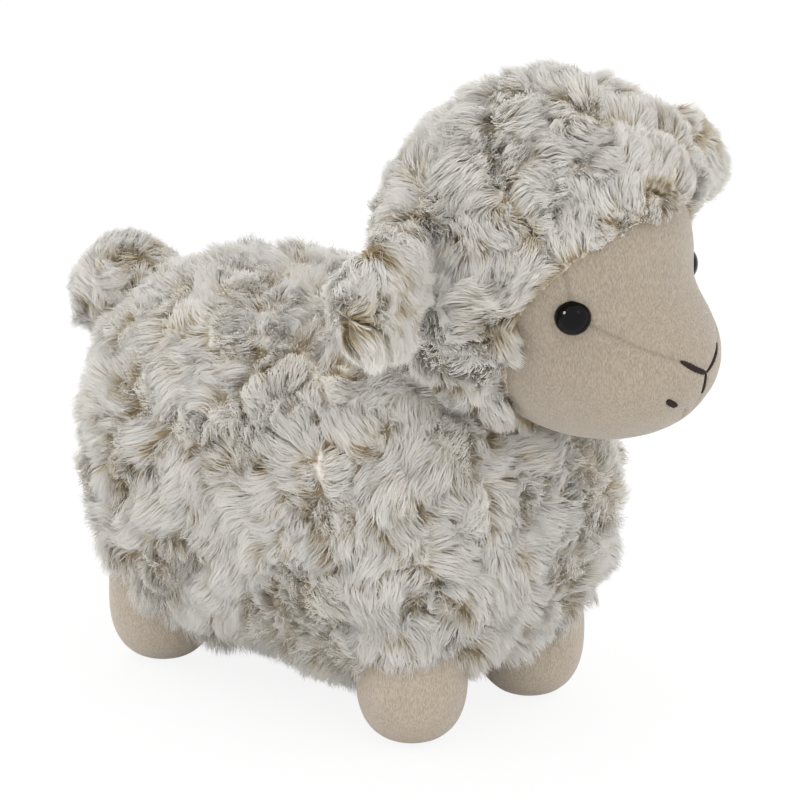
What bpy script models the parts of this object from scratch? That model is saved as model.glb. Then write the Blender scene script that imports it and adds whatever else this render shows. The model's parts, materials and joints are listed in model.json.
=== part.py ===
"""A standing plush sheep: swirled long fur over the body, head, ears and tail, a bare face and
four stub legs of short plush, safety eyes locked by washers, stitched nose and mouth, and
stuffing inside.

The sheep faces -Y, its left side is +X, and the ground is at Z = 0. Lengths are in metres.
"""

from math import asin, cos, pi, radians, sin

import bmesh
import bpy
from mathutils import Matrix, Vector
from mathutils.kdtree import KDTree

# Cloth and sewing
PILE_DEPTH = 0.0100  # the long fur on the body, from its tips down to the knitted backing
FACE_CLOTH = 0.0020  # short plush of the face and legs, nap and backing together
SEAM_GAP = 0.0003  # between any two pieces that lie against each other

# Tufts: the long fur stands in shallow mounds, with partings between them
TUFT_SPACING = 0.0180
TUFT_RISE = 0.0034  # from the bottom of a parting up to the top of a tuft
CROWN_RISE = 0.0036  # how much higher the fur stands on top of the head
CROWN_REACH = 0.0300

# Body, an oval that is fuller than an ellipse along its length and across
BODY_HALF_WIDTH = 0.0570
BODY_HALF_LENGTH = 0.0805
BODY_HALF_HEIGHT = 0.0570
BODY_LENGTH_POWER_SHARE = 2.77
BODY_SECTION_POWER_SHARE = 2.46
BELLY_CLEARANCE = 0.0081  # from the ground up to the belly fur

# Legs
LEG_RADIUS = 0.0164
LEG_HALF_HEIGHT = 0.0205
LEG_POWER_SHARE = 2.60
LEG_SPACING_ACROSS = 0.0500
LEG_SPACING_ALONG = 0.0984
FRONT_LEGS_AHEAD = 0.0470  # from the middle of the body to the middle of a front leg
SOLE_FLAT_DEPTH = 0.0005  # how much of the round foot is pressed flat by its weight

# Head: a round core blended with a lower jaw, and an oval hood of fur over it
HEAD_AHEAD = 0.0738  # from the middle of the body forward to the middle of the core
HEAD_HEIGHT = 0.1448
HEAD_TURN = radians(3.8)  # towards the sheep's left
HEAD_TILT = radians(4.0)  # the left side higher
CORE_HALF_WIDTH = 0.0357
CORE_HALF_DEPTH = 0.0430
CORE_HALF_HEIGHT = 0.0403
JAW_HALF_WIDTH = 0.0274
JAW_HALF_DEPTH = 0.0375
JAW_HALF_HEIGHT = 0.0256
JAW_AHEAD = 0.0158
JAW_BELOW = 0.0258
BLEND_POWER_SHARE = 9.0
HOOD_HALF_WIDTH = 0.0495
HOOD_HALF_DEPTH = 0.0500
HOOD_HALF_HEIGHT = 0.0520
HOOD_BEHIND = 0.0015
HOOD_BELOW = 0.0045
HOOD_EDGE_PILE = 0.0045  # the fur's depth round the face
HOOD_RISE = 0.0220  # how far back from there it takes to reach its full depth
NECK_RADIUS = 0.0150

# The opening in the hood that shows the face, an oval of angles about the face's axis
FACE_TILT = radians(20.0)  # the face looks down by this much
OPENING_HALF_ACROSS = radians(62.5)
OPENING_HALF_UP = radians(55.0)
OPENING_LOW = radians(13.5)  # the oval's middle lies this far below the axis

# Face details, placed as seen along the face's axis: across from the middle, and up from the core's middle
EYE_ACROSS = 0.0260
EYE_UP = 0.0018
EYE_RADIUS = 0.0050
EYE_DOME_HEIGHT = 0.0042
EYE_SINK = 0.0006  # how far the cloth is pressed in under the eye
SHANK_RADIUS = 0.0013
SHANK_LENGTH = 0.0085
WASHER_RADIUS = 0.0058
WASHER_THICKNESS = 0.0010
NOSE_ACROSS = 0.0084
NOSE_ARM_UP = -0.0028
NOSE_POINT_UP = -0.0074
PHILTRUM_LENGTH = 0.0058
MOUTH_ACROSS = 0.0122
MOUTH_END_UP = -0.0135
MOUTH_MIDDLE_UP = -0.0193
THREAD_RADIUS = 0.00062

# Ears: leaves that stick out sideways and hang a little, sewn in along a root that runs up the hood
EAR_HALF_LENGTH = 0.0225
EAR_HALF_WIDTH = 0.0170
EAR_HALF_THICKNESS = 0.0062
EAR_ROOT_RADIUS = 0.0040
EAR_ROOT_WIDTH = 0.0220
EAR_BEHIND = 0.0088  # from the middle of the hood back to the root
EAR_UP = 0.0146  # from the middle of the hood up to the root
EAR_ROOT_SLOPE = radians(16.5)  # the root's top end is further back
EAR_FORWARD = radians(8.0)  # how far the ear points forward from straight out
EAR_HANG = radians(43.0)  # how far it hangs from square to its root, within its own plane

# Tail: a short fat flap, sewn in along a root that runs across
TAIL_HALF_LENGTH = 0.0165
TAIL_HALF_WIDTH = 0.0145
TAIL_HALF_THICKNESS = 0.0135
TAIL_ROOT_RADIUS = 0.0045
TAIL_ROOT_WIDTH = 0.0160
TAIL_UP = 0.0277  # from the middle of the body up to the root
TAIL_DROOP = radians(4.0)

# Shape of a flap near its root
ROOT_PROUD_SHARE = 0.60  # of the root's radius, how far its middle stands out of the fur
NECK_SHARE = 0.90  # of the root's radius, half of the flap's thickness there
BLUNT_SHARE = 0.50  # how much of the flap's first ring rounds off its hidden end
OVERRUN = 0.0100  # how far a cutter runs past what it cuts

# Places that follow from the sizes
BODY_HEIGHT = BELLY_CLEARANCE + BODY_HALF_HEIGHT
FACE_AXIS = Vector((0, -cos(FACE_TILT), -sin(FACE_TILT)))
FACE_UP = Vector((0, -sin(FACE_TILT), cos(FACE_TILT)))
RIGHT, LEFT = -1, 1

NORMAL_STEP_SHARE = 0.001  # of a form's radius, how far apart the points are that give its normal

# Facets
BODY_FACETS = (52, 32)
HOOD_FACETS = (44, 28)
HOLLOW_FACETS = (24, 14)
HEAD_FACETS = (32, 20)
LEG_FACETS = (16, 8)
FLAP_FACETS = (18, 10)

COLOURS = {
    "fur": ((0.60, 0.57, 0.52), 0.95),
    "short_plush": ((0.56, 0.47, 0.38), 0.90),
    "eye_plastic": ((0.010, 0.009, 0.009), 0.12),
    "washer_plastic": ((0.75, 0.75, 0.73), 0.60),
    "thread": ((0.050, 0.032, 0.026), 0.80),
    "stuffing": ((0.85, 0.85, 0.84), 1.00),
}


class Oval:
    """A stuffed oval. Its length axis and its section each have a power: 2 is an ellipse."""

    def __init__(self, half, centre=(0, 0, 0), along=1, length_power=2, section_power=2):
        self.tufts = None
        self.half = Vector(half)
        self.centre = Vector(centre)
        self.along = along
        self.length_power = length_power
        self.section_power = section_power

    def resized(self, growth):
        half = [size + growth for size in self.half]
        return Oval(half, self.centre, self.along, self.length_power, self.section_power)

    def radius(self, direction):
        """How far the surface is from the centre in a direction."""
        smooth = self.smooth_radius(direction)
        return smooth - self.tufts.drop(direction * smooth) if self.tufts else smooth

    def smooth_radius(self, direction):
        shares = [abs(step / size) for step, size in zip(direction, self.half)]
        length = shares.pop(self.along)
        across = sum(share**self.section_power for share in shares)
        total = across ** (self.length_power / self.section_power) + length**self.length_power
        return total ** (-1 / self.length_power)

    def surface(self, direction):
        return self.centre + direction * self.radius(direction)


class Tufts:
    """Mounds of fur, spread evenly over a form by a golden spiral, and along the roots sewn into it."""

    def __init__(self, form, roots):
        wide, deep, high = form.half
        area = 4 * pi / 3 * (wide * deep + deep * high + high * wide)
        self.reach = TUFT_SPACING / 3**0.5
        count = max(round(2 * area / (3 * TUFT_SPACING * self.reach)), 1)
        golden = pi * (3 - 5**0.5)
        ways = []
        for step in range(count):
            height = 1 - (2 * step + 1) / count
            level = (1 - height**2) ** 0.5
            ways.append(Vector((level * cos(golden * step), level * sin(golden * step), height)))
        for seat, along, width in roots:
            near = form.smooth_radius(seat)
            for share in (-1, -0.5, 0, 0.5, 1):
                ways.append((seat * near + along * (share * width / 2)).normalized())
        self.tree = KDTree(len(ways))
        for index, way in enumerate(ways):
            self.tree.insert(way * form.smooth_radius(way), index)
        self.tree.balance()

    def drop(self, point):
        """How far the fur lies below the tops of the tufts, at a point of the form seen from its centre."""
        share = min(self.tree.find(point)[2] / self.reach, 1)
        return TUFT_RISE * share**2


class Head:
    """The stuffed head: a core and a lower, longer jaw, blended so that no crease is left."""

    def __init__(self, growth=0):
        self.centre = Vector((0, 0, 0))
        self.core = Vector((CORE_HALF_WIDTH, CORE_HALF_DEPTH, CORE_HALF_HEIGHT))
        self.jaw = Vector((JAW_HALF_WIDTH, JAW_HALF_DEPTH, JAW_HALF_HEIGHT))
        self.core += Vector((growth, growth, growth))
        self.jaw += Vector((growth, growth, growth))
        self.jaw_centre = Vector((0, -JAW_AHEAD, -JAW_BELOW))

    def reach(self, direction, half, centre):
        """Where a line from the head's centre leaves an oval that holds that centre."""
        step = Vector(a / b for a, b in zip(direction, half))
        start = Vector(-a / b for a, b in zip(centre, half))
        square = step.dot(step)
        middle = start.dot(step)
        inside = max(middle**2 - square * (start.dot(start) - 1), 0)
        return max((inside**0.5 - middle) / square, 0)

    def radius(self, direction):
        core = self.reach(direction, self.core, self.centre)
        jaw = self.reach(direction, self.jaw, self.jaw_centre)
        power = BLEND_POWER_SHARE
        return (core**power + jaw**power) ** (1 / power)

    def surface(self, direction):
        return direction * self.radius(direction)

    def face_point(self, across, up):
        """The point of the face that lies at these places, seen along the face's axis."""
        steps = 40
        start = Vector((across, 0, 0)) + FACE_UP * up
        far = near = 2 * CORE_HALF_DEPTH
        while near > -CORE_HALF_DEPTH and self.is_outside(start + FACE_AXIS * near):
            far, near = near, near - CORE_HALF_DEPTH / steps
        for _ in range(steps):
            middle = (near + far) / 2
            if self.is_outside(start + FACE_AXIS * middle):
                far = middle
            else:
                near = middle
        return start + FACE_AXIS * near

    def is_outside(self, point):
        return point.length > self.radius(point.normalized())

    def face_normal(self, across, up):
        return normal_of(self, self.face_point(across, up))


class Hood:
    """The fur over the head, an oval that gets thinner towards the opening for the face."""

    def __init__(self):
        self.tufts = None
        self.head = Head()
        self.half = Vector((HOOD_HALF_WIDTH, HOOD_HALF_DEPTH, HOOD_HALF_HEIGHT))
        self.centre = Vector((0, HOOD_BEHIND, -HOOD_BELOW))

    def edge_turn(self, direction):
        """How far the opening's edge is from the face's axis, as an angle, in a direction's plane."""
        across, up = direction.x, direction.dot(FACE_UP)
        size = (across**2 + up**2) ** 0.5 or 1
        across, up = across / size, up / size
        square = (across / OPENING_HALF_ACROSS) ** 2 + (up / OPENING_HALF_UP) ** 2
        middle = up * OPENING_LOW / OPENING_HALF_UP**2
        rest = 1 - (OPENING_LOW / OPENING_HALF_UP) ** 2
        return ((middle**2 + square * rest) ** 0.5 - middle) / square

    def smooth_radius(self, direction):
        """How far out the oval of fur reaches, higher on the crown, away from the opening's edge."""
        oval = self.head.reach(direction, self.half, self.centre)
        far = direction.angle(Vector((0, 0, 1))) * oval
        return oval + CROWN_RISE * max(1 - (far / CROWN_REACH) ** 2, 0) ** 2

    def radius(self, direction):
        skin = self.head.radius(direction)
        smooth = self.smooth_radius(direction)
        pile = smooth - skin
        if self.tufts:
            pile -= self.tufts.drop(direction * smooth)
        beyond = direction.angle(FACE_AXIS) - self.edge_turn(direction)
        share = min(max(beyond * skin / HOOD_RISE, 0), 1)
        return skin + HOOD_EDGE_PILE + (pile - HOOD_EDGE_PILE) * share * (2 - share)

    def surface(self, direction):
        return direction * self.radius(direction)


class Flap:
    """An oval leaf from its root, near the zero of its own X, to its tip."""

    def __init__(self, half, start, root_half_width, root_radius, hang=0):
        self.half = Vector(half)
        self.start = start
        self.root_half = Vector((0, root_half_width, root_radius * NECK_SHARE))
        self.turn = Matrix.Rotation(hang, 3, "Z")

    def surface(self, direction):
        share = (1 + direction.x) / 2
        point = Vector((self.start + 2 * self.half.x * share, 0, 0))
        ring = (1 - direction.x**2) ** 0.5
        blunt = 1 / max(ring, BLUNT_SHARE)
        grown = min(2 * share, 1)
        grown = grown**2 * (3 - 2 * grown)
        for axis in (1, 2):
            root = self.root_half[axis] * blunt
            full = self.half[axis]
            point[axis] = direction[axis] * (root + (full - root) * grown)
        return self.turn @ point


def normal_of(form, place):
    """The way out of a form's surface, where a line from its centre towards a place leaves it."""
    out = place.normalized()
    step = out.orthogonal().normalized() * NORMAL_STEP_SHARE
    other = out.cross(step)
    along = form.surface((out + step).normalized()) - form.surface((out - step).normalized())
    across = form.surface((out + other).normalized()) - form.surface((out - other).normalized())
    return along.cross(across).normalized()


def clear_scene():
    for obj in list(bpy.data.objects):
        bpy.data.objects.remove(obj, do_unlink=True)


def finish_material(name):
    material = bpy.data.materials.get(name)
    if material is None:
        colour, roughness = COLOURS[name]
        material = bpy.data.materials.new(name)
        material.use_nodes = True
        shader = material.node_tree.nodes["Principled BSDF"]
        shader.inputs["Base Color"].default_value = (*colour, 1)
        shader.inputs["Roughness"].default_value = roughness
        shader.inputs["Metallic"].default_value = 0
    return material


def new_object(name, data, parent=None, material=None, place=None):
    obj = bpy.data.objects.new(name, data)
    bpy.context.scene.collection.objects.link(obj)
    obj.parent = parent
    if place is not None:
        obj.matrix_local = place
    if material:
        data.materials.append(finish_material(material))
        if isinstance(data, bpy.types.Mesh):
            data.shade_smooth()
    return obj


def new_empty(name, place, parent=None):
    return new_object(name, None, parent, place=place)


def mesh_from(bm, name):
    bmesh.ops.recalc_face_normals(bm, faces=bm.faces)
    mesh = bpy.data.meshes.new(name)
    bm.to_mesh(mesh)
    bm.free()
    return mesh


def stuffed_mesh(name, form, facets):
    """A ball whose points are pushed out, or in, to the form's surface."""
    bm = bmesh.new()
    bmesh.ops.create_uvsphere(bm, u_segments=facets[0], v_segments=facets[1], radius=1)
    bmesh.ops.triangulate(bm, faces=bm.faces, quad_method="FIXED")
    for vert in bm.verts:
        vert.co = form.surface(vert.co.normalized())
    return mesh_from(bm, name)


def turned_mesh(name, profile, segments, closed=False):
    """A profile of (radius, height) points, spun about Z. An open one starts and ends on the axis."""
    bm = bmesh.new()
    verts = [bm.verts.new((radius, 0, height)) for radius, height in profile]
    edges = [bm.edges.new(pair) for pair in zip(verts, verts[1:])]
    if closed:
        edges.append(bm.edges.new((verts[-1], verts[0])))
    bmesh.ops.spin(
        bm, geom=verts + edges, cent=(0, 0, 0), axis=(0, 0, 1), angle=2 * pi,
        steps=segments, use_merge=True, use_duplicate=False,
    )
    bmesh.ops.remove_doubles(bm, verts=bm.verts, dist=SEAM_GAP / segments)
    return mesh_from(bm, name)


def prism_mesh(name, outline, start, end):
    """An outline of (across, up) points, as seen along the face's axis, drawn out along it."""
    bm = bmesh.new()
    verts = [bm.verts.new(Vector((x, 0, 0)) + FACE_UP * up + FACE_AXIS * start) for x, up in outline]
    face = bm.faces.new(verts)
    drawn = bmesh.ops.extrude_face_region(bm, geom=[face])
    moved = [item for item in drawn["geom"] if isinstance(item, bmesh.types.BMVert)]
    bmesh.ops.translate(bm, verts=moved, vec=FACE_AXIS * (end - start))
    return mesh_from(bm, name)


def opening_mesh(name, hood, gap):
    """A cone from the head's middle out through the edge of the face's opening, or inside it by a gap."""
    bm = bmesh.new()
    segments = HEAD_FACETS[0]
    size = 2 * (CORE_HALF_DEPTH + CORE_HALF_HEIGHT)
    ring = []
    for step in range(segments):
        turn = (2 * step + 1) * pi / segments
        aside = Vector((cos(turn), 0, 0)) + FACE_UP * sin(turn)
        edge = hood.edge_turn(aside)
        way = FACE_AXIS * cos(edge) + aside * sin(edge)
        edge -= gap / hood.head.radius(way)
        ring.append(bm.verts.new((FACE_AXIS * cos(edge) + aside * sin(edge)) * size))
    tip = bm.verts.new((0, 0, 0))
    lid = bm.verts.new(FACE_AXIS * size)
    for start, end in zip(ring, ring[1:] + ring[:1]):
        bm.faces.new((tip, start, end))
        bm.faces.new((lid, end, start))
    return mesh_from(bm, name)


def cylinder_mesh(name, radius, length, segments, middle=(0, 0, 0), axis=(0, 0, 1)):
    bm = bmesh.new()
    turn = Vector((0, 0, 1)).rotation_difference(Vector(axis)).to_matrix().to_4x4()
    bmesh.ops.create_cone(
        bm, cap_ends=True, segments=segments, radius1=radius, radius2=radius, depth=length,
        matrix=Matrix.Translation(middle) @ turn,
    )
    return mesh_from(bm, name)


def box_mesh(name, low, high):
    bm = bmesh.new()
    size = Vector(high) - Vector(low)
    middle = (Vector(high) + Vector(low)) / 2
    bmesh.ops.create_cube(bm, size=1, matrix=Matrix.Translation(middle) @ Matrix.Diagonal((*size, 1)))
    return mesh_from(bm, name)


def helper(mesh, parent=None, place=None):
    """A cutter, which isn't a piece of the sheep."""
    obj = new_object(mesh.name, mesh, parent, place=place)
    obj.hide_render = True
    obj.display_type = "WIRE"
    return obj


def cut(obj, other, operation="DIFFERENCE"):
    modifier = obj.modifiers.new(other.name, "BOOLEAN")
    modifier.operation = operation
    modifier.object = other


def make_body(root):
    """The fur cover with its neck hole and leg holes, and the stuffing with its neck plug."""
    half = (BODY_HALF_WIDTH, BODY_HALF_LENGTH, BODY_HALF_HEIGHT)
    form = Oval(half, (0, 0, BODY_HEIGHT), 1, BODY_LENGTH_POWER_SHARE, BODY_SECTION_POWER_SHARE)
    form.tufts = Tufts(form, [tail_root()])
    inner = form.resized(-PILE_DEPTH)
    cover = new_object("body_cover", stuffed_mesh("body_cover", form, BODY_FACETS), root, "fur")
    hollow = helper(stuffed_mesh("body_hollow", inner, HOLLOW_FACETS), root)
    stuffing_form = form.resized(-PILE_DEPTH - SEAM_GAP)
    stuffing_mesh = stuffed_mesh("body_stuffing", stuffing_form, HOLLOW_FACETS)
    stuffing = new_object("body_stuffing", stuffing_mesh, root, "stuffing")
    around_form = form.resized(SEAM_GAP)
    around_form.tufts = form.tufts
    around = helper(stuffed_mesh("body_around", around_form, BODY_FACETS), root)
    cut(cover, hollow)
    head = Vector((0, -HEAD_AHEAD, HEAD_HEIGHT - BODY_HEIGHT))
    middle = Vector((0, 0, BODY_HEIGHT)) + head / 2
    length = head.length
    plug = helper(cylinder_mesh("neck_plug", NECK_RADIUS, length, 20, middle, head), root)
    bore = NECK_RADIUS + SEAM_GAP
    hole = helper(cylinder_mesh("neck_hole", bore, length + OVERRUN, 20, middle, head), root)
    cut(cover, hole)
    cut(stuffing, plug, "UNION")
    return form, cover, hollow, around, hole


def make_legs(root, cover, hollow):
    """Four stubs of short plush, open at the top, each with its own filling and a flat sole."""
    size = BODY_HALF_WIDTH + BODY_HALF_LENGTH
    ground = helper(box_mesh("ground", (-size, -size, -size), (size, size, 0)), root)
    for end, along in (("front", -FRONT_LEGS_AHEAD), ("rear", LEG_SPACING_ALONG - FRONT_LEGS_AHEAD)):
        for side_name, side in (("right", RIGHT), ("left", LEFT)):
            centre = (side * LEG_SPACING_ACROSS / 2, along, LEG_HALF_HEIGHT - SOLE_FLAT_DEPTH)
            half = (LEG_RADIUS, LEG_RADIUS, LEG_HALF_HEIGHT)
            form = Oval(half, centre, 2, LEG_POWER_SHARE)
            name = f"leg_{end}_{side_name}"
            leg = new_object(name, stuffed_mesh(name, form, LEG_FACETS), root, "short_plush")
            inside = stuffed_mesh(name + "_inside", form.resized(-FACE_CLOTH), LEG_FACETS)
            filling_name = f"leg_filling_{end}_{side_name}"
            filling_form = form.resized(-FACE_CLOTH - SEAM_GAP)
            filling_mesh = stuffed_mesh(filling_name, filling_form, LEG_FACETS)
            filling = new_object(filling_name, filling_mesh, root, "stuffing")
            hole = helper(stuffed_mesh(name + "_hole", form.resized(SEAM_GAP), LEG_FACETS), root)
            cut(leg, ground)
            cut(leg, helper(inside, root))
            cut(leg, hollow)
            cut(filling, hollow)
            cut(cover, hole)


def make_head(head, around, neck_hole):
    """The hood, the three face panels and the head's stuffing."""
    reach = 2 * CORE_HALF_DEPTH
    hood_form = Hood()
    hood_form.tufts = Tufts(hood_form, [ear_root(side) for side in (RIGHT, LEFT)])
    hood = new_object("head_cover", stuffed_mesh("head_cover", hood_form, HOOD_FACETS), head, "fur")
    inside = helper(stuffed_mesh("head_inside", Head(-FACE_CLOTH), HEAD_FACETS), head)
    opening = helper(opening_mesh("face_opening", hood_form, 0), head)
    panel_space = helper(opening_mesh("panel_space", hood_form, SEAM_GAP), head)
    for cutter in (inside, opening, around, neck_hole):
        cut(hood, cutter)

    far = CORE_HALF_HEIGHT + JAW_BELOW
    seam = [(0, NOSE_POINT_UP), (NOSE_ACROSS, NOSE_ARM_UP), (EYE_ACROSS, EYE_UP), (EYE_ACROSS, far)]
    beside = [(SEAM_GAP / 2, -far)]
    beside += [(x + SEAM_GAP, up - SEAM_GAP) for x, up in seam]
    beside += [(far, far), (far, -far)]
    outlines = {
        "face_gusset": seam + [(-x, up) for x, up in reversed(seam[1:])],
        "face_cheek_right": [(RIGHT * x, up) for x, up in beside],
        "face_cheek_left": [(LEFT * x, up) for x, up in beside],
    }
    panels = []
    for name, outline in outlines.items():
        panel = new_object(name, stuffed_mesh(name, Head(), HEAD_FACETS), head, "short_plush")
        cut(panel, inside)
        cut(panel, panel_space, "INTERSECT")
        cut(panel, helper(prism_mesh(name + "_space", outline, 0, reach), head), "INTERSECT")
        cut(panel, around)
        panels.append(panel)

    stuffing_form = Head(-FACE_CLOTH - SEAM_GAP)
    stuffing_mesh = stuffed_mesh("head_stuffing", stuffing_form, HEAD_FACETS)
    stuffing = new_object("head_stuffing", stuffing_mesh, head, "stuffing")
    cut(stuffing, around)
    cut(stuffing, neck_hole)
    return hood, hood_form, panels, stuffing


def make_eyes(head, panels, stuffing):
    """Domed safety eyes on shanks, each locked behind the cloth by a washer."""
    face = Head()
    steps = 5
    dome = [
        (EYE_RADIUS * sin(pi / 2 * step / steps), EYE_DOME_HEIGHT * cos(pi / 2 * step / steps))
        for step in range(steps + 1)
    ]
    tip = -SHANK_LENGTH
    shank = [(SHANK_RADIUS, 0), (SHANK_RADIUS, tip + SHANK_RADIUS), (0, tip)]
    bore = SHANK_RADIUS + SEAM_GAP
    wide = EYE_RADIUS + SEAM_GAP
    end = tip - OVERRUN
    socket = [(0, end), (bore, end), (bore, -SEAM_GAP), (wide, -SEAM_GAP), (wide, OVERRUN), (0, OVERRUN)]
    bulge = CORE_HALF_WIDTH - (CORE_HALF_WIDTH**2 - WASHER_RADIUS**2) ** 0.5
    top = EYE_SINK - FACE_CLOTH - bulge - SEAM_GAP
    under = top - WASHER_THICKNESS
    ring = [(bore, under), (WASHER_RADIUS, under), (WASHER_RADIUS, top), (bore, top)]
    space_radius = WASHER_RADIUS + SEAM_GAP
    space = [(0, end), (space_radius, end), (space_radius, 0), (0, 0)]
    for side_name, side in (("right", RIGHT), ("left", LEFT)):
        across = side * EYE_ACROSS
        normal = face.face_normal(across, EYE_UP)
        turn = Vector((0, 0, 1)).rotation_difference(normal).to_matrix().to_4x4()
        place = Matrix.Translation(face.face_point(across, EYE_UP) - normal * EYE_SINK) @ turn
        name = f"eye_{side_name}"
        new_object(name, turned_mesh(name, dome + shank, 20), head, "eye_plastic", place)
        washer = f"eye_washer_{side_name}"
        new_object(washer, turned_mesh(washer, ring, 16, True), head, "washer_plastic", place)
        hole = helper(turned_mesh(name + "_hole", socket, 20), head, place)
        for panel in panels:
            cut(panel, hole)
        cut(stuffing, helper(turned_mesh(name + "_space", space, 16), head, place))


def thread(name, head, places):
    """A stitched thread lying on the face, through places seen along the face's axis."""
    face = Head()
    curve = bpy.data.curves.new(name, "CURVE")
    curve.dimensions = "3D"
    curve.bevel_depth = THREAD_RADIUS
    curve.bevel_resolution = 1
    curve.use_fill_caps = True
    spline = curve.splines.new("POLY")
    spline.points.add(len(places) - 1)
    for point, (across, up) in zip(spline.points, places):
        lift = face.face_normal(across, up) * (THREAD_RADIUS + SEAM_GAP / 2)
        point.co = (*(face.face_point(across, up) + lift), 1)
    return new_object(name, curve, head, "thread")


def make_stitches(head):
    """The nose's V, the short stitch below it, and the mouth's shallow curve."""
    steps = 5
    arm = [step / steps for step in range(steps + 1)]
    rise = NOSE_ARM_UP - NOSE_POINT_UP
    nose = [(-NOSE_ACROSS * share, NOSE_POINT_UP + rise * share) for share in reversed(arm)]
    nose += [(NOSE_ACROSS * share, NOSE_POINT_UP + rise * share) for share in arm[1:]]
    thread("nose_stitch", head, nose)
    top = NOSE_POINT_UP - 2 * THREAD_RADIUS - 2 * SEAM_GAP
    thread("philtrum_stitch", head, [(0, top - PHILTRUM_LENGTH * share) for share in arm])
    drop = MOUTH_END_UP - MOUTH_MIDDLE_UP
    places = [step / (2 * steps) for step in range(-2 * steps, 2 * steps + 1)]
    thread("mouth_stitch", head, [(MOUTH_ACROSS * s, MOUTH_MIDDLE_UP + drop * s**2) for s in places])


def flap_place(form, seat_way, root_way, lean, proud):
    """Where a flap's root lies on a form: X runs out along the flap, Y along its root."""
    normal = normal_of(form, seat_way)
    along = (root_way - normal * root_way.dot(normal)).normalized()
    out = Matrix.Rotation(lean, 3, along) @ normal
    turn = Matrix((out, along, out.cross(along))).transposed().to_4x4()
    return Matrix.Translation(form.surface(seat_way) + normal * proud) @ turn


def make_flap(name, parent, place, form, root_radius, root_width, carrier):
    """A furry flap with a round root, which lies in a groove of the fur that carries it."""
    flap = new_object(name, stuffed_mesh(name, form, FLAP_FACETS), parent, "fur", place)
    bead = cylinder_mesh(name + "_root", root_radius, root_width, LEG_FACETS[0], axis=(0, 1, 0))
    cut(flap, helper(bead, parent, place), "UNION")
    width = root_width + 2 * SEAM_GAP
    groove = cylinder_mesh(name + "_groove", root_radius + SEAM_GAP, width, LEG_FACETS[0], axis=(0, 1, 0))
    cut(carrier, helper(groove, parent, place))


def ear_root(side):
    """The way from the head's middle to where an ear is sewn in, the way its root runs, and its width."""
    up = EAR_UP / HOOD_HALF_HEIGHT
    back = EAR_BEHIND / HOOD_HALF_DEPTH
    level = (1 - up**2 - back**2) ** 0.5
    seat = Vector((side * level * HOOD_HALF_WIDTH, EAR_BEHIND, EAR_UP)).normalized()
    root_way = Vector((0, side * sin(EAR_ROOT_SLOPE), side * cos(EAR_ROOT_SLOPE)))
    return seat, root_way, EAR_ROOT_WIDTH


def tail_root():
    """The way from the body's middle to where the tail is sewn in, the way its root runs, and its width."""
    rise = asin(TAIL_UP / BODY_HALF_LENGTH)
    return Vector((0, cos(rise), sin(rise))), Vector((-1, 0, 0)), TAIL_ROOT_WIDTH


def make_ears(head, hood, hood_form):
    half = (EAR_HALF_LENGTH, EAR_HALF_WIDTH, EAR_HALF_THICKNESS)
    for side_name, side in (("right", RIGHT), ("left", LEFT)):
        seat, root_way, width = ear_root(side)
        proud = EAR_ROOT_RADIUS * ROOT_PROUD_SHARE
        place = flap_place(hood_form, seat, root_way, -EAR_FORWARD, proud)
        form = Flap(half, -EAR_ROOT_RADIUS / 2, EAR_ROOT_RADIUS, EAR_ROOT_RADIUS, -side * EAR_HANG)
        make_flap(f"ear_{side_name}", head, place, form, EAR_ROOT_RADIUS, width, hood)


def make_tail(root, body_form, cover):
    half = (TAIL_HALF_LENGTH, TAIL_HALF_WIDTH, TAIL_HALF_THICKNESS)
    seat, root_way, width = tail_root()
    proud = TAIL_ROOT_RADIUS * ROOT_PROUD_SHARE
    place = flap_place(body_form, seat, root_way, TAIL_DROOP, proud)
    form = Flap(half, -TAIL_ROOT_RADIUS / 2, width / 2, TAIL_ROOT_RADIUS)
    make_flap("tail", root, place, form, TAIL_ROOT_RADIUS, width, cover)
    return place @ form.surface(Vector((1, 0, 0)))


def main():
    clear_scene()
    root = new_empty("sheep", Matrix.Identity(4))
    form, cover, hollow, around, neck_hole = make_body(root)
    make_legs(root, cover, hollow)
    turn = Matrix.Rotation(HEAD_TURN, 4, "Z") @ Matrix.Rotation(-HEAD_TILT, 4, "Y")
    head_place = Matrix.Translation((0, -HEAD_AHEAD, HEAD_HEIGHT)) @ turn
    head = new_empty("head", head_place, root)
    hood, hood_form, panels, stuffing = make_head(head, around, neck_hole)
    make_eyes(head, panels, stuffing)
    make_stitches(head)
    make_ears(head, hood, hood_form)
    tail_tip = make_tail(root, form, cover)
    nose_tip = head_place @ Head().face_point(0, NOSE_POINT_UP)
    root.location.y = -(nose_tip.y + tail_tip.y) / 2


main()
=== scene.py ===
# %% [markdown]
# # A plush sheep in long swirled fur
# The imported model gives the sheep's solids, and this lesson dresses them. The real toy is a
# stuffed bag of fur fabric with a bare face and feet of short plush, so most of the work is fur:
# skins that are stuffed like the real cloth, and many thousands of small locks that grow on them.

import json
from math import cos, pi, radians, sin

import bmesh
import bpy
import numpy as np
from mathutils import Matrix, Vector, kdtree
from mathutils.bvhtree import BVHTree


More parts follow.
